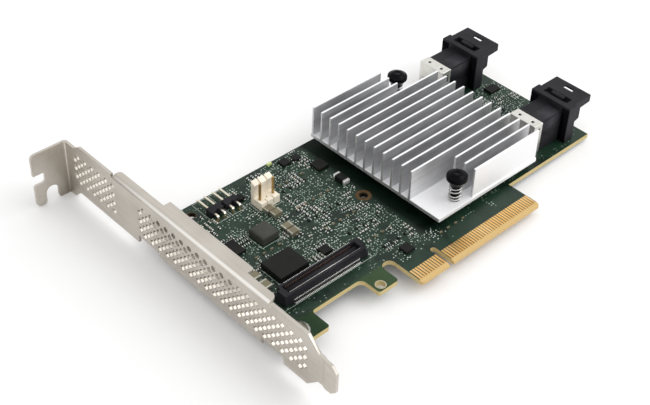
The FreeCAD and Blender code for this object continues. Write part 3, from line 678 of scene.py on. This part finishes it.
def mesh_piece(name: str, points: Array, faces: Array, slot: str, spec: Optional[Finish] = None,
               smooth: bool = False, closed: bool = False) -> Piece:
    """Makes a piece from whole arrays and gives it to the card.

    Args:
        name: the piece's name.
        points: (n, 3) places in card millimetres.
        faces: (m, k) corner numbers, k corners to a face.
        slot: the record's slot.
        spec: a finish of its own, in place of the slot's.
        smooth: whether gentle edges are shaded smooth.
        closed: whether open rims are closed and all faces turned outwards.

    Returns:
        The new piece.
    """
    mesh = bpy.data.meshes.new(name)
    count, corners = faces.shape
    mesh.vertices.add(len(points))
    mesh.vertices.foreach_set("co", layout.metres(points).astype(np.float32).ravel())
    mesh.loops.add(count * corners)
    mesh.loops.foreach_set("vertex_index", faces.astype(np.int32).ravel())
    mesh.polygons.add(count)
    mesh.polygons.foreach_set("loop_start", np.arange(count, dtype=np.int32) * corners)
    mesh.polygons.foreach_set("loop_total", np.full(count, corners, np.int32))
    mesh.update(calc_edges=True)
    mesh.validate()
    if smooth:
        smooth_by_angle(mesh)
    if closed:
        close_ends(mesh)
    return adopt(name, mesh, slot, spec)


def softened(node: str, name: str, slot: str, width: float, segments: int = 2,
             spec: Optional[Finish] = None) -> Piece:
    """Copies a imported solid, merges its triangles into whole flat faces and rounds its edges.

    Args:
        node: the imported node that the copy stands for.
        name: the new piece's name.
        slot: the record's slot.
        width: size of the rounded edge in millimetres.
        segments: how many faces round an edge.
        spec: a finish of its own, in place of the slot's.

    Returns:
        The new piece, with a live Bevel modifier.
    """
    mesh = frame["nodes"][node].data.copy()
    with editing(mesh) as work:
        bmesh.ops.remove_doubles(work, verts=work.verts, dist=1e-6)
        bmesh.ops.dissolve_limit(work, angle_limit=0.01, verts=work.verts, edges=work.edges)
    piece = adopt(name, mesh, slot, spec)
    bevel = piece.modifiers.new("rounded_edges", "BEVEL")
    bevel.width = width * MM
    bevel.segments = segments
    bevel.limit_method = "ANGLE"
    bevel.angle_limit = 0.6
    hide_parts(node)
    return piece


def grid_faces(rows: int, columns: int) -> Array:
    """Quads between neighbouring rows of a grid whose columns wrap round.

    Args:
        rows: how many rows of points.
        columns: how many points in a row.

    Returns:
        (n, 4) corner numbers.
    """
    row = np.arange(rows - 1)[:, None] * columns
    column = np.arange(columns)[None, :]
    following = (column + 1) % columns
    quads = [row + column, row + following, row + columns + following, row + columns + column]
    return np.stack(quads, axis=-1).reshape(-1, 4)


def revolved(profile: Sequence, segments: int, centre: Sequence[float] = (0.0, 0.0)) -> Array:
    """Carries a profile round an upright axis: X and Y are the radius times the angle's cosine and sine.

    Args:
        profile: (n, 2) radius and height of each point.
        segments: how many steps there are in a turn.
        centre: where the axis stands.

    Returns:
        (n * segments, 3) points, one row of the grid for each point of the profile.
    """
    radii, heights = np.asarray(profile, float).T[:, :, None]
    angle = np.linspace(0, 2 * math.pi, segments, endpoint=False)
    return np.stack([centre[0] + radii * np.cos(angle), centre[1] + radii * np.sin(angle),
                     heights + np.zeros(segments)], axis=-1).reshape(-1, 3)


BOX_CORNERS = np.array([[x, y, z] for z in (0, 1) for y in (-0.5, 0.5) for x in (-0.5, 0.5)], float)
BOX_FACES = np.array([[0, 2, 3, 1], [4, 5, 7, 6], [0, 1, 5, 4], [2, 6, 7, 3], [0, 4, 6, 2], [1, 3, 7, 5]])


def many(template: Array, faces: Array, places: Sequence, sizes: Sequence,
         turns: Optional[Array] = None) -> tuple[Array, Array]:
    """Repeats a small shape: each corner is scaled, turned about Z and moved to its place.

    Args:
        template: (k, 3) corners of the shape.
        faces: (m, c) corner numbers of its faces.
        places: (n, 3) where each copy stands.
        sizes: (n, 3) scale of each copy.
        turns: (n,) turn of each copy in radians.

    Returns:
        All the points and all the faces.
    """
    places = np.asarray(places, float)
    scaled = template[None] * np.asarray(sizes, float)[:, None]
    if turns is not None:
        cos, sin = np.cos(turns)[:, None], np.sin(turns)[:, None]
        scaled = np.stack([scaled[..., 0] * cos - scaled[..., 1] * sin,
                           scaled[..., 0] * sin + scaled[..., 1] * cos, scaled[..., 2]], axis=-1)
    points = (scaled + places[:, None]).reshape(-1, 3)
    steps = np.arange(len(places))[:, None, None] * len(template)
    return points, (faces[None] + steps).reshape(-1, faces.shape[1])


def boxes(name: str, places: Sequence, sizes: Sequence, slot: str, spec: Optional[Finish] = None,
          turns: Optional[Array] = None) -> Piece:
    """A piece of many small blocks, each given by the middle of its bottom, its size and its turn."""
    return mesh_piece(name, *many(BOX_CORNERS, BOX_FACES, places, sizes, turns), slot, spec)


# ---- sub-assemblies
@dataclass
class PushPin:
    """Domed plastic pin and its coil spring."""

    side: Side
    foot: float = 0.8  # radius of the pin's foot
    # (radius, height) of the barb, the shaft and the collar under the head.
    shaft: tuple = ((1.95, -1.6), (1.25, -1.57), (1.25, 9.0), (1.95, 9.05), (2.05, 9.6), (2.5, 10.4))
    under_head: tuple = ((0.35, 11.1), (0.05, 11.35), (0.0, 11.6))  # (inset from the head's radius, height)
    rim: float = 0.45  # radius of the head's rounded rim
    rim_drop: float = 1.25  # how far the rim's centre lies below the top
    dome: tuple = ((0.75, 0.72), (1.1, 0.35), (1.7, 0.08))  # (inset from the head, drop from the top)
    dimple: tuple = ((0.9, 0.0), (0.7, 0.12), (0.02, 0.16))  # (radius, drop from the top)
    steps: int = 48  # how many steps there are round the pin
    turns: float = 4.5  # how many turns the spring has
    turn_steps: int = 28  # how many steps there are in a turn of the spring
    wire: float = 0.24  # radius of the spring's wire
    wire_steps: int = 10  # how many steps there are round the wire
    closing: float = 0.08  # how much the spring's pitch closes up at its ends

    def build(self) -> list[Piece]:
        """Builds both pieces.

        Returns:
            The pin and its spring.
        """
        low, high = layout.box("push_pin_" + self.side)
        return [self.pin(low, high), self.spring((low + high) / 2)]

    def pin(self, low: Array, high: Array) -> Piece:
        """Surface of revolution: the radius is a stepped profile up the shaft that ends in a shallow dome.

        Args:
            low: lowest corner of the pin's box.
            high: highest corner of the pin's box.

        Returns:
            The pin.
        """
        head = (high[0] - low[0]) / 2
        top = high[2]
        turn = np.linspace(0.0, math.pi / 2, 6)
        rim = self.rim * np.stack([np.cos(turn) - 1, np.sin(turn)], axis=-1) + (head, top - self.rim_drop)
        profile = np.vstack([((0.02, low[2]), (self.foot, low[2])), self.shaft,
                             np.array(self.under_head) * (-1, 1) + (head, 0), rim,
                             np.array(self.dome) * (-1, -1) + (head, top),
                             np.array(self.dimple) * (1, -1) + (0, top)])
        piece = mesh_piece("push_pin_dressed_" + self.side,
                           revolved(profile, self.steps, (low + high) / 2),
                           grid_faces(len(profile), self.steps), "black_plastic", smooth=True, closed=True)
        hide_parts("push_pin_" + self.side)
        return piece

    def spring(self, middle: Array) -> Piece:
        """Round wire carried along a helix whose pitch closes up at both ends.

        Args:
            middle: the coil's axis.

        Returns:
            The spring.
        """
        low, high = layout.box("pin_spring_" + self.side)
        radius = (high[0] - low[0]) / 2 - self.wire
        along = np.linspace(0, 1, int(self.turns * self.turn_steps))
        angle = along * self.turns * 2 * math.pi
        eased = along - self.closing * np.sin(2 * math.pi * along)
        height = low[2] + self.wire + (high[2] - low[2] - 2 * self.wire) * eased
        outward = np.stack([np.cos(angle), np.sin(angle), np.zeros_like(angle)], axis=-1)
        centre = outward * radius + np.column_stack([np.tile(middle[:2], (len(angle), 1)), height])
        section = np.linspace(0, 2 * math.pi, self.wire_steps, endpoint=False)[None, :, None]
        around = outward[:, None] * np.cos(section) + np.sin(section) * (0, 0, 1)
        points = centre[:, None] + self.wire * around
        piece = mesh_piece("pin_spring_dressed_" + self.side, points.reshape(-1, 3),
                           grid_faces(len(angle), points.shape[1]), "spring_steel", smooth=True, closed=True)
        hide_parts("pin_spring_" + self.side)
        return piece


@dataclass(frozen=True)
class Scatter:
    """How small regular grids are strewn over the board."""

    count: int  # how many grids
    pitches: Pair  # smallest and largest pitch
    most: tuple[int, int]  # largest number of columns and rows
    keep: float  # share of the points that stay
    margin: float  # distance kept from standing pieces and holes


@dataclass
class BoardDress:
    """Everything fine that lies on the component face: vias, tiny parts, rings, linings and legend lines."""

    # (x0, x1, y0, y1, weight) of the populated fields.
    zones: tuple = ((40.0, 61.4, 14.5, 68.0, 6.4), (14.0, 44.0, 36.0, 67.0, 4.2),
                    (4.0, 44.0, 23.5, 37.0, 2.4), (47.5, 66.0, 8.2, 14.5, 0.8),
                    (112.0, 136.8, 30.5, 52.6, 3.0), (61.0, 97.0, 7.6, 12.2, 0.35),
                    (4.0, 14.0, 20.0, 60.0, 0.8), (130.0, 137.0, 14.0, 68.0, 0.6))
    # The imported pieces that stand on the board.
    standing: tuple[str, ...] = ("power_inductor", "memory_chip", "cache_socket", "alarm_header",
                                 "filter_bead_caps", "jumper_block_a", "jumper_block_b", "cable_port_near",
                                 "cable_port_far", "heatsink", "jumper_pins_a")
    pins_reach: float = 6.0  # how far the jumper pins reach over the board beyond their own box
    # (x, y, keep-clear radius) of the board's open holes and screws.
    holes: tuple = ((*STANDOFF_HOLE, 3.2), (*TOOLING_HOLE, 2.0), (*FOOT_SCREW, 3.4), (*TOP_SCREW, 3.4))
    via_grids: Scatter = Scatter(470, (0.72, 1.25), (8, 6), 0.6, 0.25)  # how the vias are strewn
    via_cell: float = 0.9  # side of the square that holds at most one via
    via_jitter: float = 0.05  # how far a via strays from its grid
    via_radii: Pair = (0.13, 0.27)  # smallest and largest radius of a via
    via_height: float = 0.02  # how far a via stands above the mask
    part_grids: Scatter = Scatter(120, (1.25, 1.7), (4, 3), 0.8, 0.7)  # how the tiny parts are strewn
    part_gap: float = 1.05  # least distance between two tiny parts along X or Y
    part_size: Pair = (1.0, 0.5)  # length and width of a tiny part
    part_heights: Pair = (0.32, 0.5)  # height of a flat one and of a tall one
    # As shares of a tiny part's own size: its body, each of its ends, and how far out an end lies.
    body_share: Triple = (0.52, 1.0, 1.0)
    end_share: Triple = (0.24, 1.04, 1.03)
    end_shift: float = 0.38
    lowest_part: float = 14.0  # no tiny part stands closer to the finger tips than this
    # (node, left, right, front, back) margins of the printed outlines.
    outlines: tuple = (("power_inductor", 0.6, 0.6, 0.6, 0.6), ("cache_socket", 0.9, 0.9, 0.9, 0.9),
                       ("alarm_header", 0.5, 0.5, 0.5, 0.5), ("jumper_pins_a", 1.4, 0.9, 0.9, 0.6),
                       ("jumper_pins_b", 0.9, 1.2, 0.9, 0.6), ("memory_chip", 0.5, 0.5, 0.9, 0.9))
    ink: Pair = (0.16, 0.015)  # width and thickness of a printed line
    ring_height: float = 0.03  # how far a pad ring stands above the mask
    barrels: tuple = ((STANDOFF_HOLE, 1.36), (TOOLING_HOLE, 1.31))  # (hole, radius) of the linings
    # (share of the radius, height) round the section of a lining.
    lining: tuple = ((1.0, 0.02), (1.0, -1.5), (0.95, -1.5), (0.95, 0.02))
    terminals: tuple = (4, 0.62, 0.34)  # count, pitch and width of the filter bead's, at each end
    rng: np.random.Generator = field(default_factory=lambda: np.random.default_rng(SEED))

    def free(self, places: Array, margin: float) -> Array:
        """Tells which points are clear of every standing piece and hole.

        Args:
            places: (n, 2) points.
            margin: the distance kept.

        Returns:
            (n,) flags.
        """
        clear = np.ones(len(places), bool)
        for name in self.standing:
            low, high = layout.box(name)
            high[0] += self.pins_reach if name == "jumper_pins_a" else 0.0
            clear &= ~np.all((places > low[:2] - margin) & (places < high[:2] + margin), axis=1)
        for x, y, radius in self.holes:
            clear &= np.hypot(*(places - (x, y)).T) > radius + margin
        return clear

    def strewn(self, grids: Scatter) -> tuple[Array, Array]:
        """Lays small regular grids at random places, with some of their points left out.

        Args:
            grids: how they are strewn.

        Returns:
            (n, 2) places and (n,) number of the grid that each belongs to.
        """
        weights = np.array([zone[4] for zone in self.zones])
        weights = weights / weights.sum()
        places, owners = [], []
        for number in range(grids.count):
            x0, x1, y0, y1, _ = self.zones[self.rng.choice(len(self.zones), p=weights)]
            pitch = self.rng.uniform(*grids.pitches)
            columns = self.rng.integers(1, grids.most[0] + 1)
            rows = self.rng.integers(1, grids.most[1] + 1)
            start = np.array([self.rng.uniform(x0, x1), self.rng.uniform(y0, y1)])
            column, row = np.meshgrid(np.arange(columns), np.arange(rows))
            grid = start + pitch * np.stack([column.ravel(), row.ravel()], axis=-1)
            chosen = self.rng.random(len(grid)) < grids.keep
            inside = (grid[:, 0] < x1) & (grid[:, 1] < y1) & chosen
            places.append(grid[inside])
            owners.append(np.full(inside.sum(), number))
        return np.concatenate(places), np.concatenate(owners)

    def vias(self) -> Piece:
        """Flat six-sided dots in groups: a fan of triangles on each, a hair above the mask.

        Returns:
            All the vias.
        """
        places, _ = self.strewn(self.via_grids)
        places = places + self.rng.normal(0.0, self.via_jitter, places.shape)
        places = places[self.free(places, self.via_grids.margin)]
        _, first = np.unique(np.floor(places / self.via_cell).astype(int), axis=0, return_index=True)
        places = places[np.sort(first)]
        template = np.vstack([[0, 0, 1.0], revolved(((1.0, 1.0), (1.0, 0.0)), 6)])
        ring = np.arange(1, 7)
        following = ring % 6 + 1
        faces = np.vstack([np.stack(corners, axis=-1) for corners in (
            (0 * ring, ring, following), (ring + 6, following + 6, following), (ring + 6, following, ring))])
        radius = self.rng.uniform(*self.via_radii, len(places))
        sizes = np.column_stack([radius, radius, np.full(len(places), self.via_height)])
        spots = np.column_stack([places, np.zeros(len(places))])
        return mesh_piece("board_vias", *many(template, faces, spots, sizes), "tin_plating", TENTED_VIA)

    def spaced(self, places: Array) -> list[int]:
        """Picks points in random order, each at least the gap away from those picked before.

        Args:
            places: (n, 2) points.

        Returns:
            The numbers of the picked points.
        """
        kept: list[int] = []
        for index in self.rng.permutation(len(places)):
            if not kept or np.abs(places[kept] - places[index]).max(axis=1).min() > self.part_gap:
                kept.append(index)
        return kept

    def tiny_parts(self) -> list[Piece]:
        """Rows of two-ended parts: a body between two metal ends, in three kinds.

        Returns:
            The bodies of each kind and all the ends.
        """
        places, owners = self.strewn(self.part_grids)
        clear = self.free(places, self.part_grids.margin) & (places[:, 1] > self.lowest_part)
        places, owners = places[clear], owners[clear]
        kept = self.spaced(places)
        places, owners = places[kept], owners[kept]
        turns = np.where(owners % 2 == 1, math.pi / 2, 0.0)
        kinds = owners % 5
        ground = np.column_stack([places, np.zeros(len(places))])
        length, width = self.part_size
        height = np.where(kinds < 2, *self.part_heights)
        whole = np.column_stack([np.full(len(places), length), np.full(len(places), width), height])
        made = []
        for label, group, slot in (("brown", (2,), "capacitor_ceramic"), ("black", (0, 1, 3), "chip_package"),
                                   ("grey", (4,), "inductor_body")):
            of_kind = np.isin(kinds, group)
            made.append(boxes("tiny_parts_" + label, ground[of_kind], whole[of_kind] * self.body_share, slot,
                              turns=turns[of_kind]))
        along = np.column_stack([np.cos(turns), np.sin(turns), np.zeros(len(turns))])
        shift = along * length * self.end_shift
        ends = np.vstack([ground + shift, ground - shift])
        made.append(boxes("tiny_part_ends", ends, np.tile(whole * self.end_share, (2, 1)), "tin_plating",
                          BRIGHT_CONTACT, np.tile(turns, 2)))
        return made

    def legend(self) -> Piece:
        """Printed outlines: four thin strips round each piece that has one.

        Returns:
            All the lines.
        """
        line, thick = self.ink
        places, sizes = [], []
        for name, left, right, front, back in self.outlines:
            low, high = layout.box(name)
            x0, x1, y0, y1 = low[0] - left, high[0] + right, low[1] - front, high[1] + back
            middle_x, middle_y = (x0 + x1) / 2, (y0 + y1) / 2
            places += [(middle_x, y0, 0.0), (middle_x, y1, 0.0), (x0, middle_y, 0.0), (x1, middle_y, 0.0)]
            sizes += [(x1 - x0 + line, line, thick)] * 2 + [(line, y1 - y0 - line, thick)] * 2
        return boxes("board_legend", places, sizes, "tin_plating", LEGEND_INK)

    def hole_linings(self) -> Piece:
        """Linings of two round open holes, painted near black as the shade inside them: a tube whose section,
        a thin rectangle, is swept round.

        Returns:
            Both linings.
        """
        steps = 32
        template = revolved(self.lining, steps)
        faces = grid_faces(len(self.lining) + 1, steps) % len(template)
        places = [(*centre, 0.0) for centre, _ in self.barrels]
        sizes = [(radius, radius, 1.0) for _, radius in self.barrels]
        return mesh_piece("hole_barrels", *many(template, faces, places, sizes), "gold_plating", DARK_BARREL,
                          closed=True)

    def filter_bead(self) -> list[Piece]:
        """A dark body with a row of bright terminals at each end, evenly spaced about its middle.

        Returns:
            The terminals and the body.
        """
        low, high = layout.box("filter_bead_caps")
        end = layout.box("filter_bead")[0][1] - low[1]
        count, pitch, width = self.terminals
        across = (low[0] + high[0]) / 2 + (np.arange(count) - (count - 1) / 2) * pitch
        places = [(x, y, 0.0) for y in (low[1] + end / 2, high[1] - end / 2) for x in across]
        bars = boxes("filter_bead_terminals", places, [(width, end, high[2] * 0.96)] * len(places),
                     "tin_plating", BRIGHT_CONTACT)
        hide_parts("filter_bead_caps")
        return [bars, softened("filter_bead", "filter_bead_body", "inductor_body", 0.06, 1,
                               SLOTS["chip_package"])]

    def rings(self) -> list[Piece]:
        """Flat annular pads: a low step-shaped profile between two radii, swept round.

        Returns:
            One ring for each hole and screw.
        """
        made = []
        steps = 40
        for name, centre, inner, outer, slot, spec in (
                ("ring_standoff_hole", STANDOFF_HOLE, 1.4, 2.55, "gold_plating", BARE_RING),
                ("ring_tab_hole", TAB_HOLE, 1.3, 1.72, "gold_plating", PALE_RING),
                ("ring_tooling_hole", TOOLING_HOLE, 1.35, 1.55, "tin_plating", BARE_RING),
                ("ring_foot_screw", FOOT_SCREW, 2.4, 3.3, "tin_plating", FAR_CONTACT),
                ("ring_top_screw", TOP_SCREW, 2.4, 3.3, "tin_plating", FAR_CONTACT)):
            profile = ((inner, 0.0), (inner, self.ring_height), (outer, self.ring_height), (outer, 0.0))
            made.append(mesh_piece(name, revolved(profile, steps, centre),
                                   grid_faces(len(profile), steps)[:, ::-1], slot, spec))
        return made

    def build(self) -> list[Piece]:
        """Builds all the fine pieces of the board."""
        return [self.vias(), *self.tiny_parts(), self.legend(), *self.rings(), self.hole_linings(),
                *self.filter_bead()]


@dataclass
class SocketDress:
    """Contact rows, ground blade and centre tongue of the cache-module socket; the blade is also a painted
    highlight along the near wall's inner top edge.
    """

    count: int = 50  # contacts in a row
    pitch: float = 0.5  # distance between contacts
    wall: float = 0.75  # thickness of the socket's long walls
    # (out from the near wall, height, size) of the near contacts' shoulders and tails.
    near_rows: tuple = ((0.05, 0.88, (0.23, 0.16, 0.46)), (0.52, 0.0, (0.23, 0.46, 0.26)))
    far_top: Triple = (0.2, 0.2, 0.06)  # size of a contact's top on the far wall
    far_tail: Triple = (0.24, 0.60, 0.14)  # size of a far contact's tail
    inner: Pair = (0.2, 0.1)  # width and depth of a contact on the inside of the far wall
    blade_inset: float = 4.6  # how much shorter the ground blade is than the socket
    tongue_inset: float = 5.2  # how much shorter the tongue is than the socket
    # (0 for the near side or 1 for the far, place along Y from it, height) of the tongue's corners.
    tongue_section: tuple = ((0, 1.5, 1.0), (1, -1.5, 1.0), (1, -1.6, 3.4), (0, 2.1, 3.0), (0, 1.6, 2.2))

    def contacts(self, low: Array, high: Array) -> list[Piece]:
        """Lays rows of small blocks, evenly spaced about the socket's middle.

        Args:
            low: lowest corner of the socket's box.
            high: highest corner of the socket's box.

        Returns:
            The near, far and inner rows.
        """
        across = (low[0] + high[0]) / 2 + (np.arange(self.count) - (self.count - 1) / 2) * self.pitch
        # Each row: the place along Y, the height and the size of one block.
        near = [(low[1] - out, bottom, size) for out, bottom, size in self.near_rows]
        far = [(high[1] - self.wall * 0.25, high[2] - 0.02, self.far_top),
               (high[1] + 0.30, 0.0, self.far_tail)]
        # Contacts inside the far wall, painted dark brown as the shade in the slot.
        inner = [(high[1] - self.wall - 0.05, 1.2, (*self.inner, high[2] - 1.9))]
        made = []
        for label, rows, spec in (("near", near, BRIGHT_CONTACT), ("far", far, BRIGHT_CONTACT),
                                  ("inner", inner, INNER_CONTACT)):
            places = [(x, y, z) for y, z, _ in rows for x in across]
            sizes = [size for _, _, size in rows for _ in across]
            made.append(boxes("socket_contact_rows_" + label, places, sizes, "tin_plating", spec))
        return made

    def build(self) -> list[Piece]:
        """Builds the contacts, the blade, and the tongue: a five-sided section carried along the socket.

        Returns:
            All the pieces.
        """
        low, high = layout.box("cache_socket")
        middle = (low[0] + high[0]) / 2
        length = high[0] - low[0]
        contacts = self.contacts(low, high)
        # Ground blade: a pale strip along the near wall's inner top edge, partly a real blade and partly a
        # painted highlight on that edge.
        blade = boxes("socket_ground_blade_highlight", [(middle, low[1] + self.wall + 0.06, 0.4)],
                      [(length - self.blade_inset, 0.12, high[2] - 0.34)], "tin_plating", FAR_CONTACT)
        edges = (low[1], high[1])
        section = np.array([(0, edges[end] + out, height) for end, out, height in self.tongue_section])
        half = (length - self.tongue_inset) / 2
        points = np.vstack([section + (middle - half, 0, 0), section + (middle + half, 0, 0)])
        tongue = mesh_piece("socket_tongue", points, grid_faces(2, len(section)), "port_plastic", closed=True)
        return [*contacts, blade, tongue]


@dataclass
class PortDress:
    """Raised panels and latch tongue of a cable port, with black plates on the collar's back as painted
    shade.
    """

    side: Side
    flange: float = 13.2  # how far the collar lies in front of the port's back
    top_panel: tuple = (-2.1, 11.1, 4.9, 0.2)  # offset along Y, height, width and thickness
    side_panel: tuple = (4.85, 5.6, 0.22, 5.3)  # offset along Y, height, thickness and tallness
    tongue: Triple = (4.1, 0.2, 11.75)  # the latch tongue's place, from the collar and the port's middle
    tongue_size: Triple = (1.4, 4.8, 1.45)
    body_half: float = 4.75  # half the width of the port's body
    shade_plate_size: Triple = (0.12, 0.3, 12.2)  # thickness, gap to the edge and tallness of the black plates of painted shade on the collar's back

    def build(self) -> list[Piece]:
        """Builds the softened port and shield, the blocks that stand for the port's relief, and black plates
        of painted shade on the collar's back.

        Returns:
            All the pieces.
        """
        name = "cable_port_" + self.side
        shield_node = "port_shield_" + self.side
        low, high = layout.box(name)
        centre = (low[1] + high[1]) / 2
        collar = low[0] + self.flange
        back = layout.box(shield_node)[1][0]
        length = collar - back
        top_y, top_z, top_wide, top_thick = self.top_panel
        side_y, side_z, side_thick, side_tall = self.side_panel
        middle = back + length / 2
        places = [(middle, centre + top_y, top_z), (middle, centre - side_y, side_z),
                  (middle, centre + side_y, side_z)]
        sizes = [(length, top_wide, top_thick)] + [(length, side_thick, side_tall)] * 2
        # Black plates on the collar's back, either side of the body, as painted shade.
        thick, gap, tall = self.shade_plate_size
        wing = (high[1] - low[1]) / 2 - self.body_half
        wings = [(collar - thick / 2, centre + way * (self.body_half + wing / 2), gap) for way in (-1, 1)]
        return [
            softened(name, name + "_moulded", "port_plastic", 0.18),
            softened(shield_node, shield_node + "_formed", "shield_metal", 0.06, 1),
            boxes(name + "_ribs", places, sizes, "port_plastic", PALE_PORT),
            boxes(name + "_latch_tongue", [np.add((collar, centre, 0.0), self.tongue)], [self.tongue_size],
                  "port_plastic"),
            boxes(name + "_recess", wings, [(thick, wing - gap, tall)] * 2, "port_plastic", PORT_SHADE_PLATES),
        ]


# ---- stage
def stand(thing: bpy.types.Object, right: Array, up: Array, back: Array, place: Sequence[float]) -> None:
    """Stands an object at a place, in frame metres, with its X, Y and Z along three directions."""
    rows = np.vstack([np.column_stack([right, up, back, place]), (0, 0, 0, 1)])
    thing.matrix_world = Matrix(rows.tolist())


@dataclass(frozen=True)
class Studio:
    """Floor, soft light and camera."""

    camera_place: Triple = (-0.2046117, -0.1570922, 0.2379640)  # in frame metres
    azimuth: float = 45.7342759  # direction of view about Z, in degrees
    elevation: float = 40.2768653  # how far the view looks down, in degrees
    roll: float = 2.0054224  # turn of the camera about its own axis, in degrees
    lens: float = 67.7163  # focal length on a 36 mm wide sensor
    ambient: float = 0.90  # strength of the even light from all sides
    key_power: float = 3.4  # power of the large soft lamp
    key_way: Triple = (0.60, -0.52, 0.85)  # direction from the card to the lamp
    key_distance: float = 0.9  # how far off the lamp is, in metres
    key_size: float = 0.7  # side of the lamp, in metres
    key_aim: Triple = (0.01, 0.04, 0.0)  # what the lamp looks at, in frame metres
    rest_inset: float = 0.012  # how far in from the bracket's outermost edge the card rests, in metres
    reach: float = 1.6  # half the side of the floor, in metres
    floor_grey: float = 0.90  # how pale the floor is
    floor_glow: float = 0.06  # how much the camera sees the floor lifted toward white

    def camera(self) -> None:
        """Points the camera: right, up and back axes from the azimuth, elevation and roll."""
        az, el, roll = (math.radians(a) for a in (self.azimuth, self.elevation, self.roll))
        ahead = np.array([math.cos(el) * math.cos(az), math.cos(el) * math.sin(az), -math.sin(el)])
        level = np.array([math.sin(az), -math.cos(az), 0.0])
        over = np.cross(level, ahead)
        data = bpy.data.cameras.new("camera")
        data.sensor_width = 36.0
        data.lens = self.lens
        data.clip_start = 0.01
        camera = linked("camera", data)
        stand(camera, math.cos(roll) * level + math.sin(roll) * over,
              math.cos(roll) * over - math.sin(roll) * level, -ahead, self.camera_place)
        bpy.context.scene.camera = camera

    def floor(self) -> None:
        """A wide floor, leaning so that the card rests on its bracket's edge and on the far pin's tip."""
        bracket_low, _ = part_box("io_bracket")
        pin_low, pin_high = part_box("push_pin_far")
        x0, z0 = bracket_low.x + self.rest_inset, bracket_low.z
        slope = (pin_low.z - z0) / ((pin_low.x + pin_high.x) / 2 - x0)
        ways = ((-1, -1), (1, -1), (1, 1), (-1, 1))
        corners = [(x * self.reach, y * self.reach, z0 + (x * self.reach - x0) * slope) for x, y in ways]
        mesh = bpy.data.meshes.new("floor")
        mesh.from_pydata(corners, [], [(0, 1, 2, 3)])
        floor = linked("floor", mesh)
        paint = Paint("floor_pale")
        seen = paint.node("ShaderNodeLightPath").outputs["Is Camera Ray"]
        paint.dress(Base_Color=(*[self.floor_grey] * 3, 1.0), Roughness=0.9, Specular_IOR_Level=0.0,
                    Emission_Color=WHITE, Emission_Strength=paint.times(seen, self.floor_glow))
        mesh.materials.append(paint.material)

    def world(self) -> None:
        """Even light from all sides; the camera sees plain white, directly or through a clear part."""
        world = bpy.data.worlds.new("studio")
        world.use_nodes = True
        world.node_tree.nodes.clear()
        nodes = Nodes(world.node_tree)
        path = nodes.node("ShaderNodeLightPath").outputs
        seen = nodes.calc("MAXIMUM", path["Is Camera Ray"], path["Is Transmission Ray"])
        light = nodes.node("ShaderNodeBackground", Color=WHITE, Strength=self.ambient)
        plain = nodes.node("ShaderNodeBackground", Color=WHITE)
        mix = nodes.node("ShaderNodeMixShader")
        for number, source in enumerate((seen, light.outputs[0], plain.outputs[0])):
            nodes.feed(mix.inputs[number], source)
        nodes.node("ShaderNodeOutputWorld", Surface=mix.outputs[0])
        bpy.context.scene.world = world

    def key(self) -> None:
        """One large soft lamp, high on the right, on the card's edge connector side."""
        data = bpy.data.lights.new("softbox", "AREA")
        data.shape = "SQUARE"
        data.size = self.key_size
        data.energy = self.key_power
        way = np.array(self.key_way) / np.linalg.norm(self.key_way)
        side = np.cross([0, 0, 1.0], way)
        side = side / np.linalg.norm(side)
        stand(linked("softbox", data), side, np.cross(way, side), way, way * self.key_distance + self.key_aim)

    def build(self) -> None:
        """Sets the stage."""
        self.camera()
        self.floor()
        self.world()
        self.key()
        bpy.context.scene.view_settings.view_transform = "Standard"


def dress_solids() -> None:
    """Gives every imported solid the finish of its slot."""
    slots = {entry["node"]: entry["material_slot"] for entry in frame["record"]["subparts"]}
    for name, node in frame["nodes"].items():
        finish = material_of(SLOTS[slots[name]])
        if node.material_slots:
            for place in node.material_slots:
                place.material = finish
        else:
            node.data.materials.append(finish)


def soften_solids() -> list[Piece]:
    """Rounds the edges of the pieces whose edges catch the light.

    Returns:
        The new pieces.
    """
    # Each row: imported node, new piece, slot, size of the rounded edge, faces round it, a finish of its own.
    plan = (
        ("alarm_pins", "alarm_pins_formed", "pin_metal", 0.05, 1, AGED_PIN),
        ("heatsink", "heatsink_extrusion", "heatsink_metal", 0.12, 2),
        ("io_bracket", "io_bracket_sheet", "bracket_metal", 0.07, 1),
        ("power_inductor", "power_inductor_body", "inductor_body", 0.25, 2),
        ("memory_chip", "memory_chip_package", "chip_package", 0.06, 1),
        ("cache_socket", "cache_socket_shell", "port_plastic", 0.08, 1),
        ("alarm_header", "alarm_header_body", "cream_plastic", 0.1, 2),
        ("jumper_block_a", "jumper_block_a_body", "port_plastic", 0.1, 1),
        ("jumper_block_b", "jumper_block_b_body", "port_plastic", 0.1, 1),
        ("bracket_screws", "bracket_screws_turned", "fastener_metal", 0.12, 2),
    )
    return [softened(*entry) for entry in plan]


def main() -> None:
    """Builds the card's looks in order and reports each piece."""
    logging.basicConfig(level=logging.INFO, format="%(name)s: %(message)s")
    dress_solids()
    pieces = soften_solids()
    for side in Side:
        pieces += PushPin(side).build()
        pieces += PortDress(side).build()
    pieces += SocketDress().build()
    pieces += BoardDress().build()
    for piece in pieces:
        log.info("%s: %d faces", piece.name, len(piece.data.polygons))
    Studio().build()


if __name__ == "__main__":
    main()
